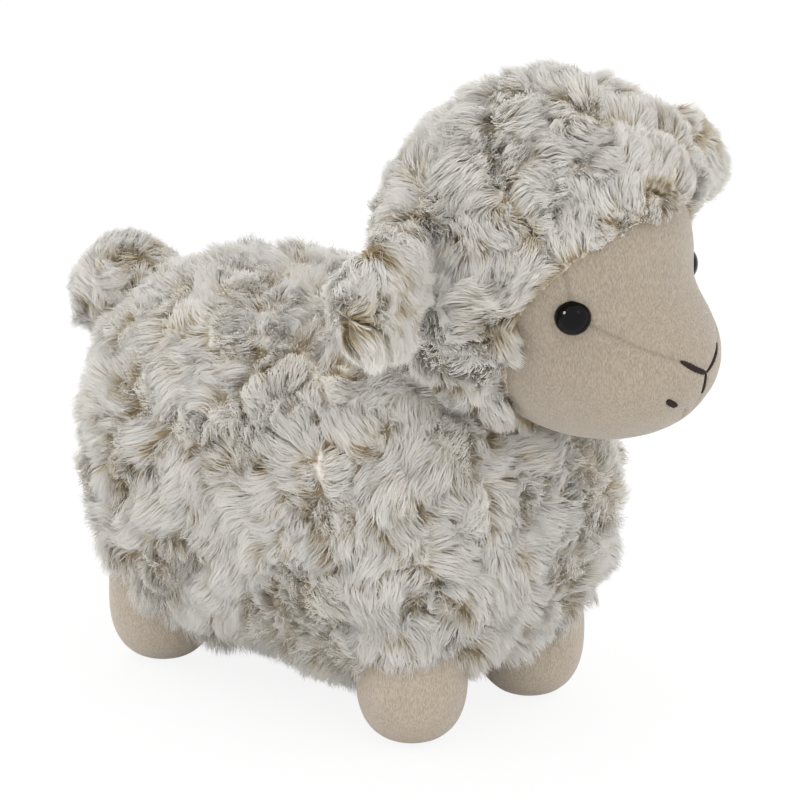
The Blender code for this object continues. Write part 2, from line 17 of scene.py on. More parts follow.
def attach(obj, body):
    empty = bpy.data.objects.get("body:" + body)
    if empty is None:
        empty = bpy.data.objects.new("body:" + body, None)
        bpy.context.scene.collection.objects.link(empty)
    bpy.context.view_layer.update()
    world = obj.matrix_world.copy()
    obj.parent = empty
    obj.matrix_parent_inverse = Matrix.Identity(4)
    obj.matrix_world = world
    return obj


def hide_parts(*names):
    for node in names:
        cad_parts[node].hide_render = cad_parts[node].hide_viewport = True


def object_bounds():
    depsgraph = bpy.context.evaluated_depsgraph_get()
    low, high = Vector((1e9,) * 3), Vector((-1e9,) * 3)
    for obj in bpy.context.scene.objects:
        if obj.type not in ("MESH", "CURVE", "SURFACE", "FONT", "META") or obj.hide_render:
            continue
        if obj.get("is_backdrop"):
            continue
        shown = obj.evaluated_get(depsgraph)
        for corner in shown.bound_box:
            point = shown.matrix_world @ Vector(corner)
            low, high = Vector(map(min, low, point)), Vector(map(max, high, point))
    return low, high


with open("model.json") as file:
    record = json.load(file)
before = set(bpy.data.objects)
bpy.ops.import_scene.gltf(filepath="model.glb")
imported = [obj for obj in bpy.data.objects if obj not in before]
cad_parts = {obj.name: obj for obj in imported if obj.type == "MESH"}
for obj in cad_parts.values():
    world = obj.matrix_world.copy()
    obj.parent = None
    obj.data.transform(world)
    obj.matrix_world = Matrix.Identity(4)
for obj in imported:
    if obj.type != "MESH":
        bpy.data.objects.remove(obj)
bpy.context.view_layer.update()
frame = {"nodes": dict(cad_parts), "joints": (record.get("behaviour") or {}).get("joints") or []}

# %% [markdown]
# ## Camera
# The photograph was taken from a long way off, level with the toy's back and a little above. A
# long lens at that distance gives the same flat perspective.

# %% Place the camera
VIEW_BACK = Vector((-0.701, -0.643, 0.309))
VIEW_RIGHT = Vector((0.676, -0.737, 0.0))
VIEW_UP = Vector((0.228, 0.209, 0.951))
VIEW_TARGET = Vector((0, -0.0081, 0.0908)) + VIEW_RIGHT * 0.0011 - VIEW_UP * 0.0028
VIEW_DISTANCE = 1.5

camera_data = bpy.data.cameras.new("camera")
camera_data.lens = 238.5
camera_data.sensor_width = 36
camera = bpy.data.objects.new("camera", camera_data)
bpy.context.scene.collection.objects.link(camera)
turn = Matrix((VIEW_RIGHT, VIEW_UP, VIEW_BACK)).transposed()
camera.matrix_world = Matrix.Translation(VIEW_TARGET + VIEW_BACK * VIEW_DISTANCE) @ turn.to_4x4()
bpy.context.scene.camera = camera
print("camera at", [round(c, 3) for c in camera.location])

# %% [markdown]
# ## Shapes of the stuffed bags
# Each bag is a ball whose points are pushed along their own directions to the bag's surface. The
# body is fuller than an ellipse. The head is a round core blended with a longer, lower jaw.

# %% Measure the body and the head
BODY_MIDDLE = np.array((0, 0.009691, 0.0651))
BODY_HALF = np.array((0.0570, 0.0805, 0.0570))
BODY_LENGTH_POWER = 2.77
BODY_SECTION_POWER = 2.46
PILE = 0.0100

HEAD_PLACE = (
    Matrix.Translation((0, -0.064109, 0.1448))
    @ Matrix.Rotation(radians(3.8), 4, "Z")
    @ Matrix.Rotation(-radians(4.0), 4, "Y")
)
CORE_HALF = np.array((0.0357, 0.0430, 0.0403))
JAW_HALF = np.array((0.0274, 0.0375, 0.0256))
JAW_CENTRE = np.array((0, -0.0158, -0.0258))
BLEND = 9.0
HOOD_HALF = np.array((0.0495, 0.0500, 0.0520))
HOOD_CENTRE = np.array((0, 0.0015, -0.0045))
EDGE_PILE = 0.0045
HOOD_RISE = 0.0220
CROWN_RISE = 0.0036
CROWN_REACH = 0.0300
TUFT_SPACING = 0.0180
TUFT_RISE = 0.0034
FACE_TILT = radians(20)
FACE_AXIS = np.array((0, -cos(FACE_TILT), -sin(FACE_TILT)))
FACE_UP = np.array((0, -sin(FACE_TILT), cos(FACE_TILT)))
OPENING_ACROSS = radians(62.5)
OPENING_UP = radians(55)
OPENING_LOW = radians(13.5)
CHEEK_OVERLAP = 0.0018
CHEEK_LOW = 0.5
CHEEK_WIDE = 0.6
POINTS_AT_ONCE = 20000


def unit(vectors):
    return vectors / np.maximum(np.linalg.norm(vectors, axis=-1, keepdims=True), 1e-12)


def ramp(values, start, end):
    """0 up to the start, 1 from the end on, and even between them."""
    return np.clip((values - start) / (end - start), 0, 1)


def hill(distance, width):
    """1 where the distance is nothing, and less away from there."""
    return np.exp(-((distance / width) ** 2))


def body_radius(ways, shrink=0.0):
    """How far the body's surface is from its middle, along each of these directions."""
    shares = np.abs(ways) / (BODY_HALF - shrink)
    across = shares[:, 0] ** BODY_SECTION_POWER + shares[:, 2] ** BODY_SECTION_POWER
    total = across ** (BODY_LENGTH_POWER / BODY_SECTION_POWER) + shares[:, 1] ** BODY_LENGTH_POWER
    return total ** (-1 / BODY_LENGTH_POWER)


def oval_reach(ways, half, centre):
    step = ways / half
    start = -np.asarray(centre) / half
    square = (step * step).sum(1)
    middle = step @ start
    inside = np.maximum(middle**2 - square * (start @ start - 1), 0)
    return np.maximum((np.sqrt(inside) - middle) / square, 0)


def head_radius(ways, shrink=0.0):
    core = oval_reach(ways, CORE_HALF - shrink, (0, 0, 0))
    jaw = oval_reach(ways, JAW_HALF - shrink, JAW_CENTRE)
    return (core**BLEND + jaw**BLEND) ** (1 / BLEND)


def opening_turn(ways):
    """The angle from the face's axis to the edge of the bare face, in each direction's plane."""
    across, up = ways[:, 0], ways @ FACE_UP
    size = np.maximum(np.hypot(across, up), 1e-9)
    across, up = across / size, up / size
    square = (across / OPENING_ACROSS) ** 2 + (up / OPENING_UP) ** 2
    middle = up * OPENING_LOW / OPENING_UP**2
    rest = 1 - (OPENING_LOW / OPENING_UP) ** 2
    return (np.sqrt(middle**2 + square * rest) - middle) / square


def beyond_opening(ways):
    """How far outside the bare face each direction meets the head, in metres along the skin."""
    turned = np.arccos(np.clip(ways @ FACE_AXIS, -1, 1))
    cheek = ramp(-(ways @ FACE_UP), 0, CHEEK_LOW) * ramp(np.abs(ways[:, 0]), 0, CHEEK_WIDE)
    return (turned - opening_turn(ways)) * head_radius(ways) + CHEEK_OVERLAP * cheek


def hood_radius(ways):
    """How far the fur's tips are from the head's middle, higher over the crown."""
    oval = oval_reach(ways, HOOD_HALF, HOOD_CENTRE)
    far = np.arccos(np.clip(ways[:, 2], -1, 1)) * oval
    return oval + CROWN_RISE * np.maximum(1 - (far / CROWN_REACH) ** 2, 0) ** 2


def nearest_few(points, middles, few):
    """Which of the middles are nearest to each point, nearest first, and how far the first is."""
    found = np.empty((len(points), few), np.int64)
    for first in range(0, len(points), POINTS_AT_ONCE):
        part = points[first : first + POINTS_AT_ONCE]
        square = (part**2).sum(1)[:, None] + (middles**2).sum(1) - 2 * part @ middles.T
        found[first : first + POINTS_AT_ONCE] = np.argsort(square, axis=1)[:, :few]
    return found, np.linalg.norm(points - middles[found[:, 0]], axis=1)


def tuft_middles(half, radius):
    """The tops of a form's tufts, spread by a golden spiral as they are on its solid."""
    wide, deep, high = half
    area = 4 * pi / 3 * (wide * deep + deep * high + high * wide)
    count = round(2 * area / (3 * TUFT_SPACING * TUFT_SPACING / 3**0.5))
    steps = np.arange(count)
    height = 1 - (2 * steps + 1) / count
    level = np.sqrt(1 - height**2)
    turns = pi * (3 - 5**0.5) * steps
    ways = np.stack((level * np.cos(turns), level * np.sin(turns), height), axis=1)
    return ways * radius(ways)[:, None]


def tuft_drop(points, middles):
    """How far the fur lies below the tops of the tufts."""
    far = nearest_few(points, middles, 1)[1]
    return TUFT_RISE * np.minimum(far * 3**0.5 / TUFT_SPACING, 1) ** 2


BODY_TUFTS = tuft_middles(BODY_HALF, body_radius)
HEAD_TUFTS = tuft_middles(HOOD_HALF, hood_radius)


def hood_pile(ways):
    """The depth of the fur over the head's skin, which gets thinner towards the face."""
    full = hood_radius(ways)
    full = full - tuft_drop(ways * full[:, None], HEAD_TUFTS) - head_radius(ways)
    share = ramp(beyond_opening(ways), 0, HOOD_RISE)
    return EDGE_PILE + (full - EDGE_PILE) * share * (2 - share)


head_matrix = np.array(HEAD_PLACE)


def to_world(points):
    return points @ head_matrix[:3, :3].T + head_matrix[:3, 3]


def to_head(points):
    return (points - head_matrix[:3, 3]) @ head_matrix[:3, :3]


print("body", 2000 * BODY_HALF, "mm, head core", 2000 * CORE_HALF, "mm")

# %% [markdown]
# ## Stuffing a bag
# A ball of points is only the pattern. To look stuffed it is remeshed evenly, made cloth and
# blown up a little by an inner pressure, with its seams held where they are sewn. How far any
# point may move is capped, so that the bag keeps its size.

# %% Make a bag and stuff it
CLOTH_FRAMES = 20


def new_piece(name, mesh):
    obj = bpy.data.objects.new(name, mesh)
    bpy.context.scene.collection.objects.link(obj)
    return obj


def built(bm, name):
    """An object with the mesh that was built."""
    mesh = bpy.data.meshes.new(name)
    bm.to_mesh(mesh)
    bm.free()
    mesh.shade_smooth()
    return new_piece(name, mesh)


def coordinates(mesh):
    flat = np.empty(len(mesh.vertices) * 3, np.float32)
    mesh.vertices.foreach_get("co", flat)
    return flat.reshape(-1, 3).astype(float)


def set_coordinates(mesh, points):
    mesh.vertices.foreach_set("co", np.asarray(points, np.float32).ravel())
    mesh.update()


def points_and_normals(mesh):
    normals = np.empty(len(mesh.vertices) * 3, np.float32)
    mesh.vertices.foreach_get("normal", normals)
    return coordinates(mesh), unit(normals.reshape(-1, 3).astype(float))


def keep_values(mesh, name, values):
    """Keeps a number for each point, which a material can read."""
    layer = mesh.attributes.new(name, "FLOAT", "POINT")
    layer.data.foreach_set("value", values.astype(np.float32))


def dress(obj, material):
    obj.data.materials.clear()
    obj.data.materials.append(material)


def bag(name, surface, fineness=5):
    """An icosphere whose points go where surface(directions) says."""
    bm = bmesh.new()
    bmesh.ops.create_icosphere(bm, subdivisions=fineness, radius=1)
    obj = built(bm, name)
    set_coordinates(obj.data, surface(unit(coordinates(obj.data))))
    return obj


def settle(obj):
    """Replaces the mesh by what its modifiers make of it."""
    graph = bpy.context.evaluated_depsgraph_get()
    mesh = bpy.data.meshes.new_from_object(obj.evaluated_get(graph))
    old = obj.data
    obj.modifiers.clear()
    obj.data = mesh
    bpy.data.meshes.remove(old)
    mesh.name = obj.name
    mesh.shade_smooth()


def subdivide(obj):
    finer = obj.modifiers.new("finer", "SUBSURF")
    finer.levels = finer.render_levels = 1
    settle(obj)


def stuff(obj, voxel, cap, seams=None, pressure=4.0):
    """Remeshes a bag, blows it up as cloth, and limits how far its points went."""
    remesh = obj.modifiers.new("even", "REMESH")
    remesh.mode = "VOXEL"
    remesh.voxel_size = voxel
    settle(obj)
    start = coordinates(obj.data)
    cloth = obj.modifiers.new("cloth", "CLOTH")
    cloth.settings.use_pressure = True
    cloth.settings.uniform_pressure_force = pressure
    cloth.settings.effector_weights.gravity = 0
    if seams is not None:
        group = obj.vertex_groups.new(name="seams")
        group.add([int(i) for i in np.nonzero(seams(start))[0]], 1.0, "REPLACE")
        cloth.settings.vertex_group_mass = "seams"
    for step in range(1, CLOTH_FRAMES + 1):
        bpy.context.scene.frame_set(step)
    graph = bpy.context.evaluated_depsgraph_get()
    moved = coordinates(obj.evaluated_get(graph).data) - start
    obj.modifiers.clear()
    obj.vertex_groups.clear()
    far = np.linalg.norm(moved, axis=1, keepdims=True)
    set_coordinates(obj.data, start + moved * np.minimum(1, cap / np.maximum(far, 1e-9)))
    bpy.context.scene.frame_set(1)
    subdivide(obj)
    print(obj.name, "stuffed:", len(obj.data.vertices), "points")


# %% [markdown]
# ## The body's bag
# The backing of the fur fabric lies as deep under the tips of the fur as the pile is long. The
# undercoat that the fur grows on is made from it later, and hides it.

# %% Stuff the body
SKIN_SWELL = 0.0015


def body_skin_surface(ways):
    return BODY_MIDDLE + ways * body_radius(ways, PILE + SKIN_SWELL)[:, None]


body_skin = bag("body_skin", body_skin_surface)
stuff(body_skin, voxel=0.0045, cap=SKIN_SWELL)
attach(body_skin, "body")
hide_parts("body_cover", "body_stuffing")

# %% [markdown]
# ## The head
# The head is one bag under the hood of fur. Its bare front is sewn from three panels: a gusset
# from the forehead to the nose, and a cheek on each side. Seams are held while the cloth swells,
# so each is a soft valley. A fine crease is pressed in along it afterwards, and a shallow socket
# round each eye.

# %% Where the face's seams run
EYE_ACROSS = 0.0260
EYE_UP = 0.0018
NOSE_ACROSS = 0.0084
NOSE_ARM_UP = -0.0028
NOSE_POINT_UP = -0.0074
PHILTRUM = 0.0064
MOUTH_OUTER = 0.0104
MOUTH_OUTER_UP = -0.0146
MOUTH_INNER = 0.0064
MOUTH_INNER_UP = -0.0172
FAR_UP = 0.0600
SEAM_TOP = (EYE_ACROSS + 0.002, 0.020)
CHEEK_SEAM = np.array([(0, NOSE_POINT_UP), (NOSE_ACROSS, NOSE_ARM_UP), (EYE_ACROSS, EYE_UP), SEAM_TOP])
CHIN_SEAM = np.array([(0, -FAR_UP), (0, NOSE_POINT_UP)])
SEAM_LINES = [CHIN_SEAM, CHEEK_SEAM, CHEEK_SEAM * (-1, 1)]


def seam_distance(points):
    """How far each world point is from the nearest seam of the face, seen along the face's axis."""
    local = to_head(points)
    seen = np.stack((local[:, 0], local @ FACE_UP), axis=1)
    least = np.full(len(points), 1.0)
    for line in SEAM_LINES:
        for start, end in zip(line[:-1], line[1:]):
            way = end - start
            share = np.clip((seen - start) @ way / (way @ way), 0, 1)
            least = np.minimum(least, np.linalg.norm(seen - start - share[:, None] * way, axis=1))
    least[local @ FACE_AXIS < 0] = 1.0
    return least


# %% Stuff the head
HEAD_SWELL = 0.0003
SEAM_DEPTH = 0.00045
SEAM_WIDTH = 0.0007
SEAM_HELD = 0.0016
SEAM_FINE = 0.0022
SEAM_SHADE = 0.0005
MOUTH_SAG = 0.0062
MOUTH_DEPTH = 0.0015
MOUTH_WIDTH = 0.0024
SOCKET_DEPTH = 0.0009
SOCKET_WIDTH = 0.0065


def mouth_distance(points):
    """How far each world point is from the mouth's curve, seen along the face's axis."""
    local = to_head(points)
    across, up = local[:, 0], local @ FACE_UP
    share = np.clip(np.abs(across) / MOUTH_OUTER, 0, 1)
    curve = MOUTH_OUTER_UP - MOUTH_SAG * (1 - share**2)
    beside = np.maximum(np.abs(across) - MOUTH_OUTER, 0)
    far = np.hypot(up - curve, beside)
    far[local @ FACE_AXIS < 0] = 1.0
    return far


def eye_distance(points):
    """How far each world point is from the nearer eye, seen along the face's axis."""
    local = to_head(points)
    return np.hypot(np.abs(local[:, 0]) - EYE_ACROSS, local @ FACE_UP - EYE_UP)


head_bag = bag("face", lambda ways: to_world(ways * head_radius(ways, HEAD_SWELL)[:, None]), 6)
stuff(head_bag, voxel=0.0024, cap=HEAD_SWELL, seams=lambda spots: seam_distance(spots) < SEAM_HELD)
bm = bmesh.new()
bm.from_mesh(head_bag.data)
near = seam_distance(np.array([v.co for v in bm.verts])) < SEAM_FINE
edges = [e for e in bm.edges if near[e.verts[0].index] and near[e.verts[1].index]]
bmesh.ops.subdivide_edges(bm, edges=edges, cuts=2, use_grid_fill=True, smooth=0.0)
bm.to_mesh(head_bag.data)
bm.free()
points, normals = points_and_normals(head_bag.data)
crease = SEAM_DEPTH * hill(seam_distance(points), SEAM_WIDTH)
crease += MOUTH_DEPTH * hill(mouth_distance(points), MOUTH_WIDTH)
crease += SOCKET_DEPTH * hill(eye_distance(points), SOCKET_WIDTH)
set_coordinates(head_bag.data, points - normals * crease[:, None])
head_bag.data.shade_smooth()
keep_values(head_bag.data, "seam", hill(seam_distance(points), SEAM_SHADE))
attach(head_bag, "body")
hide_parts("face_gusset", "face_cheek_right", "face_cheek_left", "head_stuffing", "head_cover")
print("face:", len(head_bag.data.polygons), "faces")

# %% [markdown]
# ## Legs
# Four stubs of short plush, stuffed firm. Their tops end inside the fur of the body, and their
# soles are pressed flat by the sheep's weight.

# %% Stuff the legs
LEG_HALF = np.array((0.0164, 0.0164, 0.0205))
LEG_POWER = 2.60
LEG_SWELL = 0.0005
LEG_ASIDE = 0.0250
LEG_HEIGHT = 0.0200
LEGS_ALONG = {"front": -0.037309, "rear": 0.061091}


def leg_surface(ways, middle):
    shares = np.abs(ways) / (LEG_HALF - LEG_SWELL)
    across = shares[:, 0] ** 2 + shares[:, 1] ** 2
    radius = (across ** (LEG_POWER / 2) + shares[:, 2] ** LEG_POWER) ** (-1 / LEG_POWER)
    return middle + ways * radius[:, None]


legs = []
for end, along in LEGS_ALONG.items():
    for side_name, side in (("right", -1), ("left", 1)):
        middle = np.array((side * LEG_ASIDE, along, LEG_HEIGHT))
        leg = bag(f"foot_{end}_{side_name}", lambda ways, m=middle: leg_surface(ways, m))
        stuff(leg, voxel=0.0022, cap=LEG_SWELL)
        subdivide(leg)
        points = coordinates(leg.data)
        points[:, 2] = np.maximum(points[:, 2], 0.0)
        set_coordinates(leg.data, points)
        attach(leg, "body")
        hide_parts(f"leg_{end}_{side_name}", f"leg_filling_{end}_{side_name}")
        legs.append(leg)

# %% [markdown]
# ## Ears and tail
# Each is a leaf of fur fabric, sewn with its fur outwards, so both of its faces are furry. The
# leaf starts at its joint and runs as far as its solid. It is turned a little in its own plane,
# to hang as it does in the photograph.

# %% Shape the flaps
joints = {joint["child"]: joint for joint in frame["joints"]}
DOWN = np.array((0, 0, -1.0))
HANGS = {"ear_right": radians(18), "ear_left": radians(5), "tail": radians(-9)}


def flap_frame(node):
    """Where a flap starts, and its directions: along it, across it and out of its face."""
    joint = joints[node]
    start = np.array(joint["pos_m"])
    points = coordinates(frame["nodes"][node].data)
    tip = points[np.argmax(np.linalg.norm(points - start, axis=1))]
    out = unit(np.cross(joint["axis"], tip - start))
    along = unit(tip - start - out * ((tip - start) @ out))
    lower = unit(DOWN - along * (DOWN @ along))
    along = along * cos(HANGS[node]) + lower * sin(HANGS[node])
    across = unit(np.cross(out, along))
    return start, np.stack((along, across, np.cross(along, across))), np.linalg.norm(tip - start)


def flap_bag(node, half_width, half_thickness, inset, root_half):
    start, axes, reach = flap_frame(node)

    def surface(ways):
        share = (1 + ways[:, 0]) / 2
        ring = np.sqrt(np.maximum(1 - ways[:, 0] ** 2, 0))
        grown = np.clip(2 * share, 0, 1)
        grown = grown**2 * (3 - 2 * grown)
        blunt = 1 / np.maximum(ring, 0.5)
        along = (reach - inset) * share
        across = ways[:, 1] * (root_half * blunt * (1 - grown) + half_width * grown)
        up = ways[:, 2] * half_thickness * (blunt * (1 - grown) + grown)
        return start + np.stack((along, across, up), axis=1) @ axes

    skin = bag(f"{node}_skin", surface)
    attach(skin, node)
    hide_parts(node)
    return skin


flaps = {
    "ear_right": flap_bag("ear_right", 0.0115, 0.0020, inset=0.0060, root_half=0.0050),
    "ear_left": flap_bag("ear_left", 0.0115, 0.0022, inset=0.0060, root_half=0.0050),
    "tail": flap_bag("tail", 0.0120, 0.0115, inset=0.0095, root_half=0.0110),
}
for skin in flaps.values():
    stuff(skin, voxel=0.0016, cap=0.0006)

# %% [markdown]
# ## Fur
# The fabric's fur lies in patches, each leaning its own way. Where two of them part, the brown
# roots show. Every lock here is a small tapered ribbon that stands up at its root, falls over in
# its patch's direction, and has its tip drawn towards its neighbours' tips. One ribbon is
# modelled, and numpy copies it along all the paths at once, because an operator call for each of
# them would take hours.

# %% One lock
ROWS = 4


def lock_pattern():
    """The ribbon's points as (row, side), and its faces, from a grid whose last row is one point."""
    bm = bmesh.new()
    bmesh.ops.create_grid(bm, x_segments=1, y_segments=ROWS - 1, size=1)
    top = max(vert.co.y for vert in bm.verts)
    last = [vert for vert in bm.verts if vert.co.y > top - 1e-4]
    bmesh.ops.pointmerge(bm, verts=last, merge_co=(0, top, 0))
    bm.verts.index_update()
    rows = np.array([round((vert.co.y + top) / (2 * top) * (ROWS - 1)) for vert in bm.verts])
    sides = np.array([round(vert.co.x) for vert in bm.verts])
    faces = [[vert.index for vert in face.verts] for face in bm.faces]
    bm.free()
    return rows, sides, faces


LOCK_ROWS, LOCK_SIDES, LOCK_FACES = lock_pattern()
print("a lock has", len(LOCK_ROWS), "points and", len(LOCK_FACES), "faces")

# %% Sow roots on a skin
def sow(skin, count, rng, density=None):
    """Root points spread evenly over a skin's triangles, with the skin's normals there."""
    mesh = skin.data
    mesh.calc_loop_triangles()
    corners = np.empty(len(mesh.loop_triangles) * 3, np.int32)
    mesh.loop_triangles.foreach_get("vertices", corners)
    corners = corners.reshape(-1, 3)
    points, normals = points_and_normals(mesh)
    a, b, c = points[corners[:, 0]], points[corners[:, 1]], points[corners[:, 2]]
    areas = np.linalg.norm(np.cross(b - a, c - a), axis=1) / 2
    if density is not None:
        areas = areas * density((a + b + c) / 3, unit(normals[corners].sum(1)))
    edges = np.cumsum(areas)
    picks = np.searchsorted(edges, (np.arange(count) + rng.random(count)) / count * edges[-1])
    picks = np.minimum(picks, len(areas) - 1)
    u, v = rng.random(count), rng.random(count)
    flip = u + v > 1
    u[flip], v[flip] = 1 - u[flip], 1 - v[flip]
    weights = np.stack((1 - u - v, u, v), axis=1)[:, :, None]
    roots = (points[corners[picks]] * weights).sum(1)
    return roots, unit((normals[corners[picks]] * weights).sum(1))


# %% Slow changes from place to place
class Drift:
    """A smooth field of about -1 to 1 that changes over a given size."""

    def __init__(self, size, rng, waves=5):
        lengths = size * rng.uniform(1.4, 2.8, (waves, 1))
        self.ways = unit(rng.normal(size=(waves, 3))) * (2 * pi / lengths)
        self.starts = rng.uniform(0, 2 * pi, waves)

    def __call__(self, points):
        return np.sin(points @ self.ways.T + self.starts).sum(1) / len(self.starts) ** 0.5 / 0.9


def flattened(ways, normals):
    return ways - normals * (ways * normals).sum(1)[:, None]


# %% Swirls that the fur follows
NEAR_SWIRLS = 4
REACH_SHARE = 0.36
PLACES_TRIED = 6000
SPIN_SPREAD = 0.35
OUTWARD = (-0.05, 0.30)
WANDER = 0.0022
PARTING_STEP = 0.0010
PARTING_SIZE = 0.0030


class Swirls:
    """Patches on a skin. In each, the fur leans its own way and turns a little about the middle."""

    def __init__(self, points, normals, spacing, rng):
        order = rng.permutation(len(points))[:PLACES_TRIED]
        kept = [order[0]]
        for index in order[1:]:
            if ((points[kept] - points[index]) ** 2).sum(1).min() > spacing**2:
                kept.append(index)
        self.middles = points[kept]
        self.reach = REACH_SHARE * spacing
        self.spins = rng.normal(0, SPIN_SPREAD, (len(kept), 1))
        self.outs = rng.uniform(*OUTWARD, (len(kept), 1))
        self.leans = unit(np.cross(normals[kept], rng.normal(size=(len(kept), 3))))
        self.wanders = [Drift(0.5 * spacing, rng) for _ in range(3)]

    def nearest(self, points):
        return nearest_few(points, self.middles, NEAR_SWIRLS)[0]

    def stream(self, points, normals, near, base):
        """The fur's direction at each point: the comb's own, bent by the nearest patches."""
        moved = points + WANDER * np.stack([field(points) for field in self.wanders], axis=1)
        flow = np.zeros_like(points)
        total = np.full((len(points), 1), 1e-9)
        for column in range(NEAR_SWIRLS):
            which = near[:, column]
            away = flattened((moved - self.middles[which]) / self.reach, normals)
            weight = np.exp(-(away**2).sum(1)[:, None])
            turned = np.cross(normals, away) * self.spins[which]
            flow += weight * (self.leans[which] + away * self.outs[which] + turned)
            total += weight
        return unit(flattened(flow / total + base, normals))

    def parting(self, points, normals, base):
        """Above zero where the fur parts at a point, and below zero where it leans together."""
        near = self.nearest(points)
        aside = unit(np.cross(normals, (0.31, 0.85, 0.42)))
        total = np.zeros(len(points))
        for way in (aside, np.cross(normals, aside)):
            ahead = self.stream(points + way * PARTING_STEP, normals, near, base)
            behind = self.stream(points - way * PARTING_STEP, normals, near, base)
            total += ((ahead - behind) * way).sum(1) / (2 * PARTING_STEP)
        return total * PARTING_SIZE


# %% How far the tips reach
def print_reach(name, tips, middle, radius):
    """Prints how far outside a form's solid the tips end, in millimetres."""
    away = tips - middle
    far = np.linalg.norm(away, axis=1)
    outside = 1000 * (far - radius(away / far[:, None]))
    print(name, "tips outside the solid:", np.percentile(outside, (5, 50, 95)).round(1), "mm")


# %% Paths of the locks
PULL_POWER = 1.3


def comb_paths(roots, normals, swirls, base, length, rise, fall, bend, curve_radius):
    """Each lock's points from root to tip, and the way out of the fur beside each of them."""
    near = swirls.nearest(roots)
    point, out = roots.copy(), normals.copy()
    path, outs = [point.copy()], [out.copy()]
    step = length[:, None] / (ROWS - 1)
    for row in range(ROWS - 1):
        share = (row + 0.5) / (ROWS - 1)
        flow = swirls.stream(point, out, near, base)
        flow = unit(flow + np.cross(out, flow) * bend[:, None])
        angle = (rise + (fall - rise) * share)[:, None]
        point = point + (flow * np.cos(angle) + out * np.sin(angle)) * step
        out = unit(normals + flattened(point - roots, normals) / curve_radius)
        path.append(point.copy())
        outs.append(out.copy())
    return np.stack(path, axis=1), np.stack(outs, axis=1)


def draw_together(paths, gathered, strength, rng):
    """Pulls tips towards that of the nearest leading lock, so that about this many make a tuft."""
    leaders = rng.choice(len(paths), len(paths) // gathered, replace=False)
    tree = kdtree.KDTree(len(leaders))
    for index, leader in enumerate(leaders):
        tree.insert(paths[leader, 0], index)
    tree.balance()
    found = np.array([tree.find(root)[1] for root in paths[:, 0]])
    share = (np.arange(ROWS) / (ROWS - 1))[None, :, None] ** PULL_POWER
    return paths + (paths[leaders[found]] - paths) * share * strength


# %% Locks as meshes
BANDS = 64
SHADES = 16
MOST_LOCKS = 39000
WIDTH_SHARES = np.array((0.90, 1.0, 0.88, 0.0))
ROLL_SPREAD = 0.14
ROUNDED = 0.15
BAND_HALF = 0.38
MAP_EDGE = 0.02


def lock_faces(points, out):
    """The faces of a lock, turned so that they look out of the fur."""
    face = LOCK_FACES[0]
    facing = np.cross(points[face[1]] - points[face[0]], points[face[2]] - points[face[0]]) @ out
    return LOCK_FACES if facing > 0 else [face[::-1] for face in LOCK_FACES]


def lock_mesh(name, points, faces):
    """One mesh with the same faces for every lock, and which of a lock's points each corner is."""
    corners = np.array([corner for face in faces for corner in face])
    firsts = np.cumsum([0] + [len(face) for face in faces[:-1]])
    every = np.arange(len(points))[:, None]
    loops = (corners[None, :] + points.shape[1] * every).ravel()
    starts = (firsts[None, :] + len(corners) * every).ravel()
    mesh = bpy.data.meshes.new(name)
    mesh.vertices.add(points.shape[0] * points.shape[1])
    mesh.vertices.foreach_set("co", points.astype(np.float32).ravel())
    mesh.loops.add(len(loops))
    mesh.loops.foreach_set("vertex_index", loops.astype(np.int32))
    mesh.polygons.add(len(starts))
    mesh.polygons.foreach_set("loop_start", starts.astype(np.int32))
    mesh.update(calc_edges=True)
    return mesh, corners


def make_locks(name, paths, outs, widths, shades, node, rng):
    """Ribbons along the paths, in pieces that are small enough to export whole."""
    order = np.argsort(paths[:, 0, 1], kind="stable")
    parts = np.array_split(order, -(-len(paths) // MOST_LOCKS))
    for number, part in enumerate(parts):
        path, out = paths[part], outs[part]
        along = unit(np.gradient(path, axis=1))
        side = unit(np.cross(along, out))
        roll = rng.normal(0, ROLL_SPREAD, len(part))[:, None, None]
        side = side * np.cos(roll) + np.cross(along, side) * np.sin(roll)
        half = (widths[part][:, None] * WIDTH_SHARES[None, :] / 2)[:, LOCK_ROWS, None]
        points = path[:, LOCK_ROWS] + side[:, LOCK_ROWS] * half * LOCK_SIDES[None, :, None]
        soft = unit(out + ROUNDED * np.cross(side, along))[:, LOCK_ROWS]
        mesh, corners = lock_mesh(name, points, lock_faces(points[0], out[0, 0]))
        variant = rng.integers(0, BANDS // SHADES, len(part))
        shade = np.clip((shades[part] * SHADES).astype(int), 0, SHADES - 1)
        band = shade * (BANDS // SHADES) + variant
        u = (band[:, None] + 0.5 + BAND_HALF * LOCK_SIDES[None, :]) / BANDS
        v = np.broadcast_to(MAP_EDGE + (1 - 2 * MAP_EDGE) * LOCK_ROWS / (ROWS - 1), u.shape)
        uv = np.stack((u, v), axis=2)[:, corners].reshape(-1)
        mesh.uv_layers.new(name="OFBake").data.foreach_set("uv", uv.astype(np.float32))
        mesh.normals_split_custom_set_from_vertices(soft.reshape(-1, 3).astype(np.float32))
        piece = new_piece(f"{name}_{number + 1}", mesh)
        dress(piece, fur)
        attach(piece, node)
    print(name, len(paths), "locks in", len(parts), "pieces")


# %% Grow locks on a skin
LOCK_LENGTH = 0.0094
LOCK_WIDTHS = (0.00020, 0.00036)
LENGTH_SHARES = (0.86, 1.12)
LENGTH_DRIFT = 0.07
PARTED_SHORTER = 0.15
MEETING_SHORTER = 0.10
MEETING_LOWER = radians(26)
STANDING = radians(78)
LOCKS_IN_TUFT = 180
LOCKS_IN_WISP = 34
LEAST_HEIGHT = 0.0012
SHADE_SPREAD = 0.06


def opened_and_closed(parted):
    """How strongly the fur parts, and how strongly it leans together, each from 0 to 1."""
    return np.clip(parted, 0, 1), np.clip(-parted, 0, 1)


